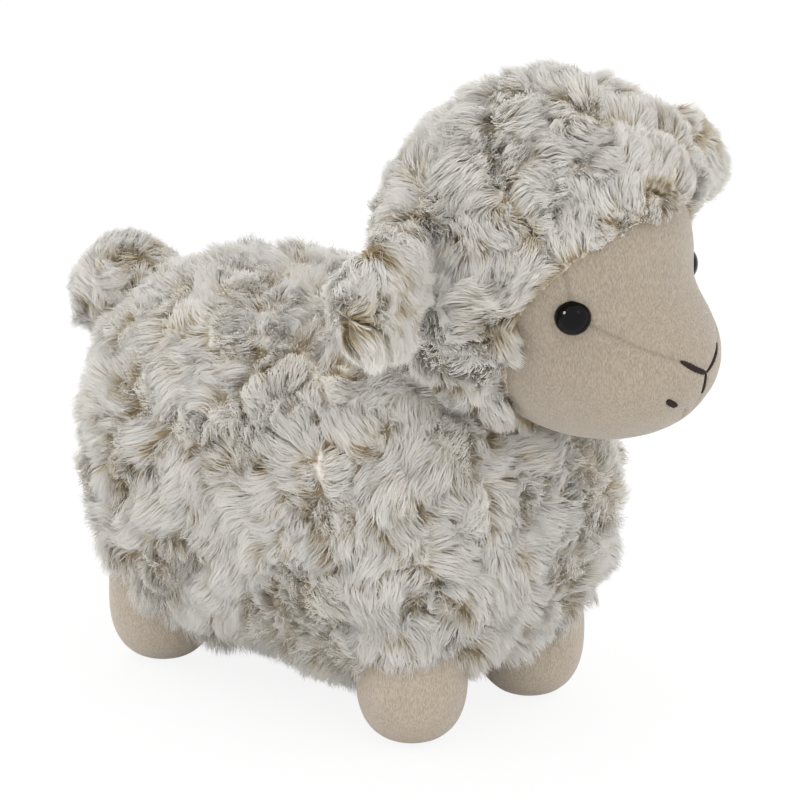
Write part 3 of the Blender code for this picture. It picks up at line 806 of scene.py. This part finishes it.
def length_shares(opened, closed, rng):
    shorter = PARTED_SHORTER * opened + MEETING_SHORTER * closed
    return (1 - shorter) * rng.uniform(*LENGTH_SHARES, len(opened))


def coat_shades(least, roots, opened, closed, rng):
    """How brown each lock is: more where the fur parts or leans together."""
    shades = least + 0.10 * Drift(0.016, rng)(roots) + 0.80 * opened + 0.22 * closed
    return shades + rng.normal(0, SHADE_SPREAD, len(roots))


def grow(name, node, ground, swirls, base, length, rise, fall, bend, curve_radius, pulls, shades, rng):
    """Grows locks on the ground's roots. The rise and fall are angles with their spreads."""
    roots, normals = ground
    count = len(roots)
    rise, fall = (angle + rng.normal(0, width, count) for angle, width in (rise, fall))
    bend = rng.normal(0, 1, count) * bend
    paths, outs = comb_paths(roots, normals, swirls, base, length, rise, fall, bend, curve_radius)
    for gathered, strength in zip((LOCKS_IN_TUFT, LOCKS_IN_WISP), pulls):
        paths = draw_together(paths, gathered, strength, rng)
    paths[:, :, 2] = np.maximum(paths[:, :, 2], LEAST_HEIGHT)
    shades = shades()
    make_locks(name, paths, outs, rng.uniform(*LOCK_WIDTHS, count), shades, node, rng)
    return paths


# %% [markdown]
# ## Finishes
# The fur's colour depends only on where a point is along its lock and on the lock's shade: brown
# at the root and cream at the tip. Both are in the locks' own map. Light also passes through the
# locks. Short plush has a fine nap that is brushed down, and the legs' plush is painted lighter
# than the face's, as painted light from the bright floor below. The other finishes share one
# speckle, each at its own scale.

# %% Node helpers
def new_material(name, roughness, colour):
    material = bpy.data.materials.new(name)
    material.use_nodes = True
    shader = material.node_tree.nodes["Principled BSDF"]
    shader.inputs["Roughness"].default_value = roughness
    shader.inputs["Base Color"].default_value = (*colour, 1)
    return material, material.node_tree, shader


def add(tree, kind, values=(), **settings):
    node = tree.nodes.new(kind)
    for key, value in settings.items():
        setattr(node, key, value)
    for socket, value in dict(values).items():
        if isinstance(value, bpy.types.NodeSocket):
            tree.links.new(value, node.inputs[socket])
        else:
            node.inputs[socket].default_value = value
    return node


def noise(tree, place, scale, detail=1.0):
    return add(tree, "ShaderNodeTexNoise", {"Vector": place, "Scale": scale, "Detail": detail}).outputs[0]


def maths(tree, operation, *values):
    return add(tree, "ShaderNodeMath", enumerate(values), operation=operation).outputs[0]


def spread(tree, value, low, high, new_low=0.0, new_high=1.0):
    values = {0: value, 1: low, 2: high, 3: new_low, 4: new_high}
    return add(tree, "ShaderNodeMapRange", values, interpolation_type="SMOOTHSTEP").outputs[0]


def mix(tree, share, first, second):
    node = add(tree, "ShaderNodeMix", data_type="RGBA")
    for socket, value in ((node.inputs[0], share), (node.inputs[6], first), (node.inputs[7], second)):
        if isinstance(value, bpy.types.NodeSocket):
            tree.links.new(value, socket)
        else:
            socket.default_value = value
    return node.outputs[2]


def object_place(tree):
    return add(tree, "ShaderNodeTexCoord").outputs["Object"]


def new_group(name, inputs, outputs):
    """A node group with named sockets: its tree, what it is given and what it has to put out."""
    group = bpy.data.node_groups.new(name, "ShaderNodeTree")
    for sockets, side in ((inputs, "INPUT"), (outputs, "OUTPUT")):
        for socket, kind in sockets.items():
            group.interface.new_socket(socket, in_out=side, socket_type="NodeSocket" + kind)
    return group, group.nodes.new("NodeGroupInput").outputs, group.nodes.new("NodeGroupOutput").inputs


# %% Speckle, which the backing, the undercoat, the plastics and the thread share
SPECKLE, given, wanted = new_group(
    "speckle", {"Place": "Vector", "Scale": "Float", "Detail": "Float"}, {"Mask": "Float"}
)
mask = noise(SPECKLE, given["Place"], given["Scale"], given["Detail"])
SPECKLE.links.new(mask, wanted["Mask"])


def speckle(tree, scale, detail=2.0):
    """The speckle in a material, at a scale of its own."""
    values = {"Place": object_place(tree), "Scale": scale, "Detail": detail}
    return add(tree, "ShaderNodeGroup", values, node_tree=SPECKLE).outputs["Mask"]


# %% Brushed nap, which the plush of the face and of the legs share
NAP, given, wanted = new_group(
    "brushed_nap",
    {"Place": "Vector", "Tone": "Color", "Seam": "Float"},
    {"Color": "Color", "Height": "Float"},
)
brushing = {"Vector": given["Place"], "Rotation": (0.5, 0.3, 0), "Scale": (1.0, 1.0, 0.30)}
brushed = add(NAP, "ShaderNodeMapping", brushing).outputs[0]
streaks = noise(NAP, brushed, 2900.0, 2.0)
bits = noise(NAP, given["Place"], 1100.0, 2.0)
broad = noise(NAP, given["Place"], 60.0, 1.0)
height = maths(NAP, "ADD", maths(NAP, "MULTIPLY", bits, 0.3), streaks)
fine_tone = spread(NAP, height, 0.42, 0.88, 0.77, 1.12)
tone = maths(NAP, "ADD", fine_tone, spread(NAP, broad, 0.3, 0.7, -0.02, 0.02))
faint = maths(NAP, "MULTIPLY", given["Seam"], spread(NAP, bits, 0.35, 0.6, 0.5, 1.0))
tone = maths(NAP, "MULTIPLY", tone, spread(NAP, faint, 0, 1, 1.0, 0.80))
toned = add(NAP, "ShaderNodeVectorMath", {0: given["Tone"], 1: tone}, operation="MULTIPLY")
NAP.links.new(toned.outputs[0], wanted["Color"])
NAP.links.new(height, wanted["Height"])

# %% Fur
ROOT_BROWN = (0.535, 0.440, 0.295, 1)
ROOT_TAN = (0.765, 0.700, 0.575, 1)
TIP_CREAM = (0.880, 0.857, 0.806, 1)
TIP_WHITE = (0.894, 0.887, 0.868, 1)
HAIRS_IN_BAND = 5.0
RIPPLES = 3.0
STREAK_SHIFT = 0.16
THROUGH_SHARE = 0.52

fur, tree, shader = new_material("fur", 0.75, TIP_CREAM[:3])
uv = add(tree, "ShaderNodeUVMap", uv_map="OFBake")
split = add(tree, "ShaderNodeSeparateXYZ", {0: uv.outputs[0]})
u, v = split.outputs[0], split.outputs[1]
shade = maths(tree, "DIVIDE", maths(tree, "FLOOR", maths(tree, "MULTIPLY", u, SHADES)), SHADES - 1)
band = maths(tree, "FLOOR", maths(tree, "MULTIPLY", u, BANDS))
chance = add(tree, "ShaderNodeTexWhiteNoise", {"W": band}, noise_dimensions="1D").outputs[0]
hairs = maths(tree, "MULTIPLY", u, BANDS * HAIRS_IN_BAND)
hair = add(tree, "ShaderNodeCombineXYZ", {0: hairs, 1: maths(tree, "MULTIPLY", v, RIPPLES)}).outputs[0]
values = {"Vector": hair, "Scale": 1.0, "Detail": 1.0}
streak = add(tree, "ShaderNodeTexNoise", values, noise_dimensions="2D").outputs[0]
shift = maths(tree, "MULTIPLY", maths(tree, "SUBTRACT", streak, 0.5), STREAK_SHIFT)
where = maths(tree, "ADD", v, shift)
start = spread(tree, shade, 0, 1, -0.05, 0.62)
brown = maths(tree, "SUBTRACT", where, start)
to_tan = spread(tree, brown, -0.12, 0.10)
to_cream = spread(tree, brown, 0.04, 0.50)
colour = mix(tree, to_tan, ROOT_BROWN, ROOT_TAN)
colour = mix(tree, to_cream, colour, mix(tree, chance, TIP_CREAM, TIP_WHITE))
light = spread(tree, streak, 0.25, 0.75, 0.95, 1.03)
final = add(tree, "ShaderNodeVectorMath", {0: colour, 1: light}, operation="MULTIPLY")
tree.links.new(final.outputs[0], shader.inputs["Base Color"])
shader.inputs["Specular IOR Level"].default_value = 0.08
through = add(tree, "ShaderNodeBsdfTranslucent", {"Color": final.outputs[0]}).outputs[0]
both = add(tree, "ShaderNodeMixShader", {0: THROUGH_SHARE, 1: shader.outputs[0], 2: through}).outputs[0]
tree.links.new(both, tree.nodes["Material Output"].inputs["Surface"])

# %% Backing and undercoat of the fur
BACKING_TANS = ((0.50, 0.42, 0.30, 1), (0.68, 0.60, 0.47, 1))
UNDER_CREAMS = ((0.80, 0.76, 0.68, 1), (0.89, 0.87, 0.82, 1))
# The undercoat's browns are brown roots where the fur parts, and painted shade along the face's edge.
UNDER_BROWNS_AND_EDGE_SHADE = ((0.42, 0.325, 0.21, 1), (0.56, 0.47, 0.34, 1))

backing, tree, shader = new_material("fur_backing", 0.95, (0.30, 0.24, 0.17))
tree.links.new(mix(tree, speckle(tree, 900.0), *BACKING_TANS), shader.inputs["Base Color"])
for skin in (body_skin, *flaps.values()):
    dress(skin, backing)

underfur, tree, shader = new_material("underfur", 0.95, (0.66, 0.61, 0.52))
parting = add(tree, "ShaderNodeAttribute", attribute_name="parting").outputs["Fac"]
grain = speckle(tree, 700.0)
light, brown_and_painted_shade = mix(tree, grain, *UNDER_CREAMS), mix(tree, grain, *UNDER_BROWNS_AND_EDGE_SHADE)
tree.links.new(mix(tree, spread(tree, parting, 0.2, 0.7), light, brown_and_painted_shade), shader.inputs["Base Color"])

# %% Short plush
FACE_PLUSH = (0.356, 0.300, 0.235)
# The legs' plush is the face's fabric painted lighter: painted light from the bright floor below.
LEG_PLUSH_PAINTED_LIGHTER = (0.432, 0.366, 0.291)


def short_plush(name, tone):
    """Short plush: streaks of brushed nap, and a darker line along a seam."""
    material, tree, shader = new_material(name, 0.85, tone)
    seam = add(tree, "ShaderNodeAttribute", attribute_name="seam").outputs["Fac"]
    values = {"Place": object_place(tree), "Tone": (*tone, 1), "Seam": seam}
    nap = add(tree, "ShaderNodeGroup", values, node_tree=NAP)
    tree.links.new(nap.outputs["Color"], shader.inputs["Base Color"])
    values = {"Strength": 0.8, "Distance": 0.0004, "Height": nap.outputs["Height"]}
    bump = add(tree, "ShaderNodeBump", values)
    tree.links.new(bump.outputs[0], shader.inputs["Normal"])
    shader.inputs["Sheen Weight"].default_value = 0.35
    shader.inputs["Sheen Roughness"].default_value = 0.5
    shader.inputs["Specular IOR Level"].default_value = 0.15
    return material


face_plush = short_plush("face_plush", FACE_PLUSH)
leg_plush_painted_lighter = short_plush("leg_plush_painted_lighter", LEG_PLUSH_PAINTED_LIGHTER)
dress(head_bag, face_plush)
for leg in legs:
    dress(leg, leg_plush_painted_lighter)

# %% [markdown]
# ## Fur of the body
# About three locks stand on each square millimetre, fewer under the belly. None is sown where
# the neck or a leg comes out. The fur is fuller round the tail's root and at the corners, longer
# low down, and smoother and paler on the back.

# %% The coat under the locks
UNDER = 0.0052
PARTING_SINK = 0.0014
MEETING_LIFT = 0.0010


def undercoat(name, skin, surface):
    """A copy of a skin, moved to where surface(points) says."""
    coat = new_piece(name, skin.data.copy())
    coat.data.name = name
    set_coordinates(coat.data, surface(coordinates(coat.data)))
    coat.data.shade_smooth()
    dress(coat, underfur)
    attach(coat, "body")
    return coat


def mark_partings(coat, parted, edge=0.0):
    """Sinks the coat where the fur parts and lifts it where the fur leans together. Keeps how brown it
    is: brown roots where the fur parts, and along any edge given, brown roots with painted shade.
    """
    points, normals = points_and_normals(coat.data)
    opened, closed = opened_and_closed(parted)
    lift = MEETING_LIFT * closed - PARTING_SINK * opened
    set_coordinates(coat.data, points + normals * lift[:, None])
    keep_values(coat.data, "parting", np.maximum(opened, edge))


# %% Shape the body's coat
BODY_LOCKS = 176000
BODY_SWIRLS = 0.0094
BODY_COMB = 0.38
BELLY_THINNED = 0.55
RUMP_LIFT = 0.0080
RUMP_WIDTH = 0.030
CORNER_LIFT = 0.0036
NECK_DEPTH = 0.006
BODY_ROOT_SINK = 0.0006
rng = np.random.default_rng(11)


def body_density(points, normals):
    return 1 - BELLY_THINNED * ramp(-normals[:, 2], 0.5, 0.9)


TAIL_ROOT = np.array(joints["tail"]["pos_m"])


RUMP_MIDDLE = TAIL_ROOT + (0, -0.010, 0.006)


def rump(points):
    """1 where the tail is sewn on, and less away from it."""
    return hill(np.linalg.norm(points - RUMP_MIDDLE, axis=1), RUMP_WIDTH)


def back(points):
    """1 on the back, and 0 on the flanks."""
    return ramp(points[:, 2], 0.085, 0.105)


def body_coat_surface(points):
    ways = unit(points - BODY_MIDDLE)
    tips = body_radius(ways)
    tips = tips - tuft_drop(ways * tips[:, None], BODY_TUFTS)
    level = np.maximum(1 - ways[:, 2] ** 2, 0.01)
    corner = (2 * ways[:, 0] * ways[:, 1] / level) ** 2 * ramp(level, 0, 0.625)
    corner *= 1 - 0.6 * ramp(ways[:, 2], 0, 0.6)
    lift = RUMP_LIFT * rump(points) + CORNER_LIFT * corner - UNDER
    return BODY_MIDDLE + ways * (tips + lift)[:, None]


def body_comb(normals):
    """Down over the body, and a little back."""
    return flattened(np.broadcast_to(DOWN + (0, 0.25, 0), normals.shape), normals) * BODY_COMB


def clear_of_head(points):
    local = to_head(points)
    ways = unit(local)
    return np.linalg.norm(local, axis=1) > head_radius(ways) + hood_pile(ways) - NECK_DEPTH


def clear_of_legs(points):
    clear = np.ones(len(points), bool)
    for leg in legs:
        middle = np.array([sum(c) / 8 for c in zip(*[tuple(corner) for corner in leg.bound_box])])
        clear &= (((points - middle) / (LEG_HALF - 0.001)) ** 2).sum(1) > 1
    return clear


body_coat = undercoat("body_undercoat", body_skin, body_coat_surface)
points, normals = points_and_normals(body_coat.data)
swirls = Swirls(points, normals, BODY_SWIRLS, rng)
parted = swirls.parting(points, normals, body_comb(normals))
print("parting:", np.percentile(parted, (3, 25, 50, 75, 90, 97)).round(2))
mark_partings(body_coat, parted * (1 - 0.3 * back(points)))

# %% Grow the body's fur
roots, normals = sow(body_coat, BODY_LOCKS, rng, body_density)
keep = clear_of_head(roots) & clear_of_legs(roots)
roots, normals = roots[keep] - normals[keep] * BODY_ROOT_SINK, normals[keep]
base = body_comb(normals)
opened, closed = opened_and_closed(swirls.parting(roots, normals, base))
belly = ramp(-normals[:, 2], 0.3, 0.9)
low = ramp(BODY_MIDDLE[2] - roots[:, 2], 0.022, 0.047)
above = back(roots)
length = LOCK_LENGTH * (1 + LENGTH_DRIFT * Drift(0.024, rng)(roots))
length *= length_shares(opened, closed, rng)
length *= 1 + 0.20 * rump(roots) + 0.16 * low


def body_shades():
    return coat_shades(0.07, roots, opened, closed, rng) - (0.08 + 0.16 * opened) * above


paths = grow(
    "body_fur",
    "body",
    (roots, normals),
    swirls,
    base,
    length,
    rise=(STANDING - MEETING_LOWER * closed - radians(12) * above, 0.18),
    fall=(radians(20) + radians(18) * belly, 0.26),
    bend=0.30 + 0.12 * opened,
    curve_radius=0.060,
    pulls=(0.38, 0.18),
    shades=body_shades,
    rng=rng,
)
print_reach("body", paths[:, -1], BODY_MIDDLE, body_radius)

# %% [markdown]
# ## Fur of the head
# The hood's fur is as deep as its solid says, and thin round the face, where the panel's edge is
# sewn. Round the face it is brushed back from the seam, so that the seam and the brown roots show.

# %% Shape the head's coat
HEAD_LOCKS = 110000
HEAD_SWIRLS = 0.0110
HEAD_DOWN = 0.42
FACE_BACK = 1.1
FACE_EDGE = 0.0006
EDGE_SINK = 0.0007
EDGE_RISE = 0.005
BROW_WAY = unit(np.array((0.48, -0.52, 0.70)))
BROW_LIFT = 0.0040
BROW_WIDTH = 0.55
HEAD_ROOT_SINK = 0.0004
IN_BODY = 0.008
FACE_WAY = to_world(FACE_AXIS[None, :])[0] - to_world(np.zeros((1, 3)))[0]
rng = np.random.default_rng(12)


def head_ways(points):
    return unit(to_head(points))


def head_density(points, normals):
    return np.where(beyond_opening(head_ways(points)) > FACE_EDGE, 1.0, 0.0)


def brow(ways):
    """1 on the hood's left shoulder, and less away from it: the hood isn't stuffed quite evenly."""
    return hill(np.arccos(np.clip(ways @ BROW_WAY, -1, 1)), BROW_WIDTH)


def crown(points):
    return ramp(points[:, 2], 0.165, 0.185)


def fur_depth(ways):
    """How far the tips are above the undercoat."""
    return np.minimum(UNDER, 0.8 * hood_pile(ways))


def head_coat_surface(points):
    ways = head_ways(points)
    lift = hood_pile(ways) - fur_depth(ways) + BROW_LIFT * brow(ways)
    rising = ramp(beyond_opening(ways), 0, EDGE_RISE)
    return to_world(ways * (head_radius(ways) - EDGE_SINK + (lift + EDGE_SINK) * rising)[:, None])


def head_comb(points, normals):
    """Down over the head, and away from the face at its edge."""
    edge = hill(beyond_opening(head_ways(points)), 0.009)[:, None]
    down = flattened(np.broadcast_to(DOWN, normals.shape), normals) * HEAD_DOWN
    away = flattened(np.broadcast_to(0.4 * DOWN - FACE_WAY, normals.shape), normals) * FACE_BACK
    return down * (1 - edge) + away * edge


head_coat = undercoat("head_undercoat", head_bag, head_coat_surface)
bm = bmesh.new()
bm.from_mesh(head_coat.data)
middles = np.array([face.calc_center_median() for face in bm.faces])
bare = np.nonzero(beyond_opening(head_ways(middles)) < FACE_EDGE)[0]
bm.faces.ensure_lookup_table()
bmesh.ops.delete(bm, geom=[bm.faces[index] for index in bare], context="FACES")
bm.to_mesh(head_coat.data)
bm.free()
points, normals = points_and_normals(head_coat.data)
swirls = Swirls(points, normals, HEAD_SWIRLS, rng)
parted = swirls.parting(points, normals, head_comb(points, normals))
beyond = beyond_opening(head_ways(points))
sunk = parted * ramp(beyond, 0, 0.010) * (1 - 0.5 * crown(points))
# Along the face's edge the undercoat is painted brown: partly the roots at the seam, partly painted shade
# over the coat's edge.
mark_partings(head_coat, sunk, 0.6 * hill(beyond, 0.004))

# %% Grow the head's fur
roots, normals = sow(head_coat, HEAD_LOCKS, rng, head_density)
from_body = roots - BODY_MIDDLE
keep = np.linalg.norm(from_body, axis=1) >= body_radius(unit(from_body)) - IN_BODY
roots, normals = roots[keep] - normals[keep] * HEAD_ROOT_SINK, normals[keep]
beyond = beyond_opening(head_ways(roots))
base = head_comb(roots, normals)
opened, closed = opened_and_closed(swirls.parting(roots, normals, base))
length = fur_depth(head_ways(roots)) / UNDER * LOCK_LENGTH * length_shares(opened, closed, rng)
length *= 1 + LENGTH_DRIFT * Drift(0.024, rng)(roots)


def head_shades():
    shades = coat_shades(0.16, roots, opened, closed, rng)
    shades += (0.16 + 0.30 * Drift(0.012, rng)(roots)) * hill(beyond, 0.006)
    return shades - 0.45 * opened * crown(roots)


paths = grow(
    "head_fur",
    "body",
    (roots, normals),
    swirls,
    base,
    length,
    rise=(STANDING - MEETING_LOWER * closed, 0.14),
    fall=(radians(18), 0.20),
    bend=0.24 + 0.15 * opened,
    curve_radius=0.045,
    pulls=(0.38, 0.20),
    shades=head_shades,
    rng=rng,
)
tips = to_head(paths[:, -1])
print_reach("head", tips, np.zeros(3), lambda ways: head_radius(ways) + hood_pile(ways))

# %% [markdown]
# ## Fur of the ears and the tail
# On these small flaps the fur is combed from the root to the tip and out over the edges.

# %% Grow the flaps' fur
FLAP_SWIRLS = 0.0082
rng = np.random.default_rng(13)


def grow_flap(node, count, longest, curve_radius):
    start, axes, reach = flap_frame(node)
    roots, normals = sow(flaps[node], count, rng)
    swirls = Swirls(roots, normals, FLAP_SWIRLS, rng)
    share = np.clip((roots - start) @ axes[0] / reach, 0, 1)
    base = flattened(np.broadcast_to(0.7 * axes[0] + 0.3 * DOWN, roots.shape), normals)
    opened = opened_and_closed(swirls.parting(roots, normals, base))[0]

    def flap_shades():
        shades = 0.14 + 0.12 * Drift(0.014, rng)(roots) + 0.8 * opened + 0.25 * hill(share, 0.25)
        return shades + rng.normal(0, SHADE_SPREAD, len(roots))

    grow(
        f"{node}_fur",
        node,
        (roots, normals),
        swirls,
        base,
        longest * (1 - 0.2 * opened) * rng.uniform(*LENGTH_SHARES, len(roots)),
        rise=(radians(66), 0.14),
        fall=(radians(10), 0.20),
        bend=0.22,
        curve_radius=curve_radius,
        pulls=(0.40, 0.28),
        shades=flap_shades,
        rng=rng,
    )


grow_flap("ear_right", 21000, longest=0.0108, curve_radius=0.020)
grow_flap("ear_left", 20000, longest=0.0108, curve_radius=0.020)
grow_flap("tail", 16000, longest=0.0115, curve_radius=0.012)

# %% [markdown]
# ## Eyes and stitches
# The eyes are polished beads. Their solids are right, but faceted, so a finer dome is turned in
# the same place and pressed into its socket. The nose and mouth are rows of dark thread.

# %% Where the eyes sit
FACE_FAR = 0.09
HALVINGS = 40
NORMAL_STEP = 0.0004


def face_point(across, up):
    """Where the head's surface is, seen along the face's axis."""
    low, high = 0.0, FACE_FAR
    start = np.array((across, 0, 0)) + FACE_UP * up
    for _ in range(HALVINGS):
        middle = (low + high) / 2
        point = start + FACE_AXIS * middle
        if np.linalg.norm(point) > head_radius(unit(point)[None, :])[0]:
            high = middle
        else:
            low = middle
    return start + FACE_AXIS * low


def face_normal(across, up):
    right = face_point(across + NORMAL_STEP, up) - face_point(across - NORMAL_STEP, up)
    rise = face_point(across, up + NORMAL_STEP) - face_point(across, up - NORMAL_STEP)
    normal = unit(np.cross(right, rise))
    return normal if normal @ face_point(across, up) > 0 else -normal


# %% Eyes
EYE_RADIUS = 0.0050
EYE_DOME = 0.0042
EYE_SUNK = 0.0012
DOME_STEPS = 14
TURNS = 48
SHANK = [(EYE_RADIUS * 0.97, -0.0005), (0.0013, -0.0007), (0.0013, -0.0070), (0.0, -0.0083)]

eye_black, tree, shader = new_material("eye_plastic", 0.10, (0.004, 0.0035, 0.0035))
tree.links.new(spread(tree, speckle(tree, 300.0), 0.3, 0.7, 0.07, 0.14), shader.inputs["Roughness"])
shader.inputs["Specular IOR Level"].default_value = 0.11
washer, tree, shader = new_material("washer_plastic", 0.5, (0.75, 0.75, 0.73))
tree.links.new(spread(tree, speckle(tree, 700.0), 0.3, 0.7, 0.45, 0.6), shader.inputs["Roughness"])

quarter = [pi / 2 * step / DOME_STEPS for step in range(DOME_STEPS + 1)]
profile = [(EYE_RADIUS * sin(angle), EYE_DOME * cos(angle)) for angle in quarter] + SHANK
for side_name, side in (("right", -1), ("left", 1)):
    point = face_point(side * EYE_ACROSS, EYE_UP)
    normal = face_normal(side * EYE_ACROSS, EYE_UP)
    bm = bmesh.new()
    verts = [bm.verts.new((radius, 0, height)) for radius, height in profile]
    edges = [bm.edges.new(pair) for pair in zip(verts, verts[1:])]
    turning = {"axis": (0, 0, 1), "angle": 2 * pi, "steps": TURNS, "use_merge": True}
    bmesh.ops.spin(bm, geom=verts + edges, cent=(0, 0, 0), **turning, use_duplicate=False)
    bmesh.ops.remove_doubles(bm, verts=bm.verts, dist=1e-6)
    bmesh.ops.recalc_face_normals(bm, faces=bm.faces)
    turn = Vector((0, 0, 1)).rotation_difference(Vector(normal)).to_matrix().to_4x4()
    bm.transform(HEAD_PLACE @ Matrix.Translation(Vector(point - normal * EYE_SUNK)) @ turn)
    bead = built(bm, f"bead_{side_name}")
    dress(bead, eye_black)
    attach(bead, "body")
    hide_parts(f"eye_{side_name}")
    dress(frame["nodes"][f"eye_washer_{side_name}"], washer)
    print(bead.name, "at", [round(1000 * c, 1) for c in to_world(point)], "mm")

# %% Stitches
THREAD_BROWNS = ((0.012, 0.008, 0.007, 1), (0.046, 0.032, 0.028, 1))
STITCH_LIFT = 0.0002
STITCH_STEPS = 24
STITCH_SIDES = 10
STITCH_AHEAD = 0.02
STITCH_FLAT = 0.6

thread, tree, shader = new_material("thread", 0.8, (0.045, 0.030, 0.026))
shader.inputs["Specular IOR Level"].default_value = 0.12
tree.links.new(mix(tree, speckle(tree, 4000.0, 1.0), *THREAD_BROWNS), shader.inputs["Base Color"])
face_tree = BVHTree.FromObject(head_bag, bpy.context.evaluated_depsgraph_get())


def on_face(across, up):
    """The point of the finished face seen at this place along its axis, and the way out of it."""
    seen = np.array((across, 0, 0)) + FACE_UP * up + FACE_AXIS * FACE_FAR
    start = HEAD_PLACE @ Vector(seen)
    point, normal, _, _ = face_tree.ray_cast(start, HEAD_PLACE.to_3x3() @ Vector(-FACE_AXIS))
    return point, normal


def thread_ring(bm, places, half_width, share):
    """The ring of points round a thread at this share of its length, pulled to a point at its ends."""
    spans = np.cumsum([0, *np.linalg.norm(np.diff(places, axis=0), axis=1)])

    def at(share):
        far = min(max(share, 0), 1) * spans[-1]
        return on_face(*(np.interp(far, spans, column) for column in places.T))

    point, normal = at(share)
    along = (at(share + STITCH_AHEAD)[0] - at(share - STITCH_AHEAD)[0]).normalized()
    side = along.cross(normal).normalized()
    wide = half_width * ((1 - abs(2 * share - 1) ** 3) ** 0.5 if 0 < share < 1 else 0.05)
    twist = 1 + 0.10 * sin(16 * pi * share)
    ring = []
    for turn in np.arange(STITCH_SIDES) * 2 * pi / STITCH_SIDES:
        out = side * (wide * twist * cos(turn)) + normal * (STITCH_FLAT * wide * sin(turn))
        ring.append(bm.verts.new(point + normal * STITCH_LIFT + out))
    return ring


def stitch(name, node, lines):
    """Threads on the face, each (places, half width)."""
    bm = bmesh.new()
    for places, half_width in lines:
        shares = [step / STITCH_STEPS for step in range(STITCH_STEPS + 1)]
        rings = [thread_ring(bm, np.array(places), half_width, share) for share in shares]
        for first, second in zip(rings, rings[1:]):
            for a, b, c, d in zip(first, second, second[1:] + second[:1], first[1:] + first[:1]):
                bm.faces.new((a, b, c, d))
        bm.faces.new(rings[0])
        bm.faces.new(rings[-1][::-1])
    bmesh.ops.recalc_face_normals(bm, faces=bm.faces)
    piece = built(bm, name)
    dress(piece, thread)
    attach(piece, "body")
    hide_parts(node)
    print(name, len(piece.data.polygons), "faces")


def mirrored(places):
    return [(-across, up) for across, up in places]


arm_middle = (NOSE_ACROSS * 0.5, NOSE_ARM_UP * 0.45 + NOSE_POINT_UP * 0.55)
arm = [(NOSE_ACROSS, NOSE_ARM_UP), arm_middle, (0.0, NOSE_POINT_UP)]
philtrum = [(0, NOSE_POINT_UP), (0, NOSE_POINT_UP - PHILTRUM)]
dash = [(-MOUTH_OUTER, MOUTH_OUTER_UP), (-MOUTH_INNER, MOUTH_INNER_UP)]
stitch("nose_thread", "nose_stitch", [(mirrored(arm), 0.00085), (arm, 0.00065)])
stitch("philtrum_thread", "philtrum_stitch", [(philtrum, 0.0006)])
stitch("mouth_thread", "mouth_stitch", [(dash, 0.0010), (mirrored(dash), 0.0010)])

# %% [markdown]
# ## Stage and light
# A pale floor under a bright sky, and soft lamps high in front on the left, in front on the
# right, and above. Two more show only as sparkles in the eyes.

# %% Floor
FLOOR_GLOW_SHARE = 0.88
bm = bmesh.new()
bmesh.ops.create_grid(bm, x_segments=2, y_segments=2, size=4)
floor = built(bm, "floor")
floor_paint, tree, shader = new_material("floor", 0.9, (0.92, 0.92, 0.92))
ray = add(tree, "ShaderNodeLightPath").outputs["Is Camera Ray"]
glow = add(tree, "ShaderNodeEmission", {"Color": (1, 1, 1, 1), "Strength": 1.0}).outputs[0]
share = maths(tree, "MULTIPLY", ray, FLOOR_GLOW_SHARE)
both = add(tree, "ShaderNodeMixShader", {0: share, 1: shader.outputs[0], 2: glow}).outputs[0]
tree.links.new(both, tree.nodes["Material Output"].inputs["Surface"])
dress(floor, floor_paint)
floor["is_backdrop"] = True

# %% Sky and lamps
SKY_STRENGTH = 1.30
LOOKED_AT = Vector((0, 0, 0.08))
WHITE = (1, 1, 1, 1)
world = bpy.data.worlds.new("sky")
world.use_nodes = True
bpy.context.scene.world = world
tree = world.node_tree
tree.nodes.clear()
ray = add(tree, "ShaderNodeLightPath").outputs["Is Camera Ray"]
soft = add(tree, "ShaderNodeBackground", {"Color": WHITE, "Strength": SKY_STRENGTH}).outputs[0]
plain = add(tree, "ShaderNodeBackground", {"Color": WHITE, "Strength": 1.0}).outputs[0]
both = add(tree, "ShaderNodeMixShader", {0: ray, 1: soft, 2: plain}).outputs[0]
add(tree, "ShaderNodeOutputWorld", {"Surface": both})


def lamp(name, place, size, power):
    data = bpy.data.lights.new(name, "AREA")
    data.shape = "DISK"
    data.size = size
    data.energy = power
    obj = bpy.data.objects.new(name, data)
    bpy.context.scene.collection.objects.link(obj)
    way = LOOKED_AT - place
    obj.matrix_world = Matrix.Translation(place) @ way.to_track_quat("-Z", "Y").to_matrix().to_4x4()
    return obj


def from_camera(back, right, up):
    return VIEW_TARGET + VIEW_BACK * back + VIEW_RIGHT * right + VIEW_UP * up


lamp("key", from_camera(0.9, -0.7, 1.1), size=0.5, power=0.7)
lamp("fill", from_camera(1.18, 0.79, 0.46), size=0.5, power=0.9)
lamp("top", Vector((0.1, 0.2, 1.4)), size=0.9, power=0.9)
for sparkle in (
    lamp("sparkle_left", from_camera(0.96, -1.09, 0.38), size=0.42, power=24.0),
    lamp("sparkle_right", from_camera(1.18, 0.79, 0.46), size=0.50, power=6.0),
):
    sparkle.visible_diffuse = False
    sparkle.visible_transmission = False

bpy.context.scene.view_settings.view_transform = "Standard"

# %% Measure and finish
low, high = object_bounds()
print("dressed box:", [round(1000 * s, 1) for s in high - low], "mm")
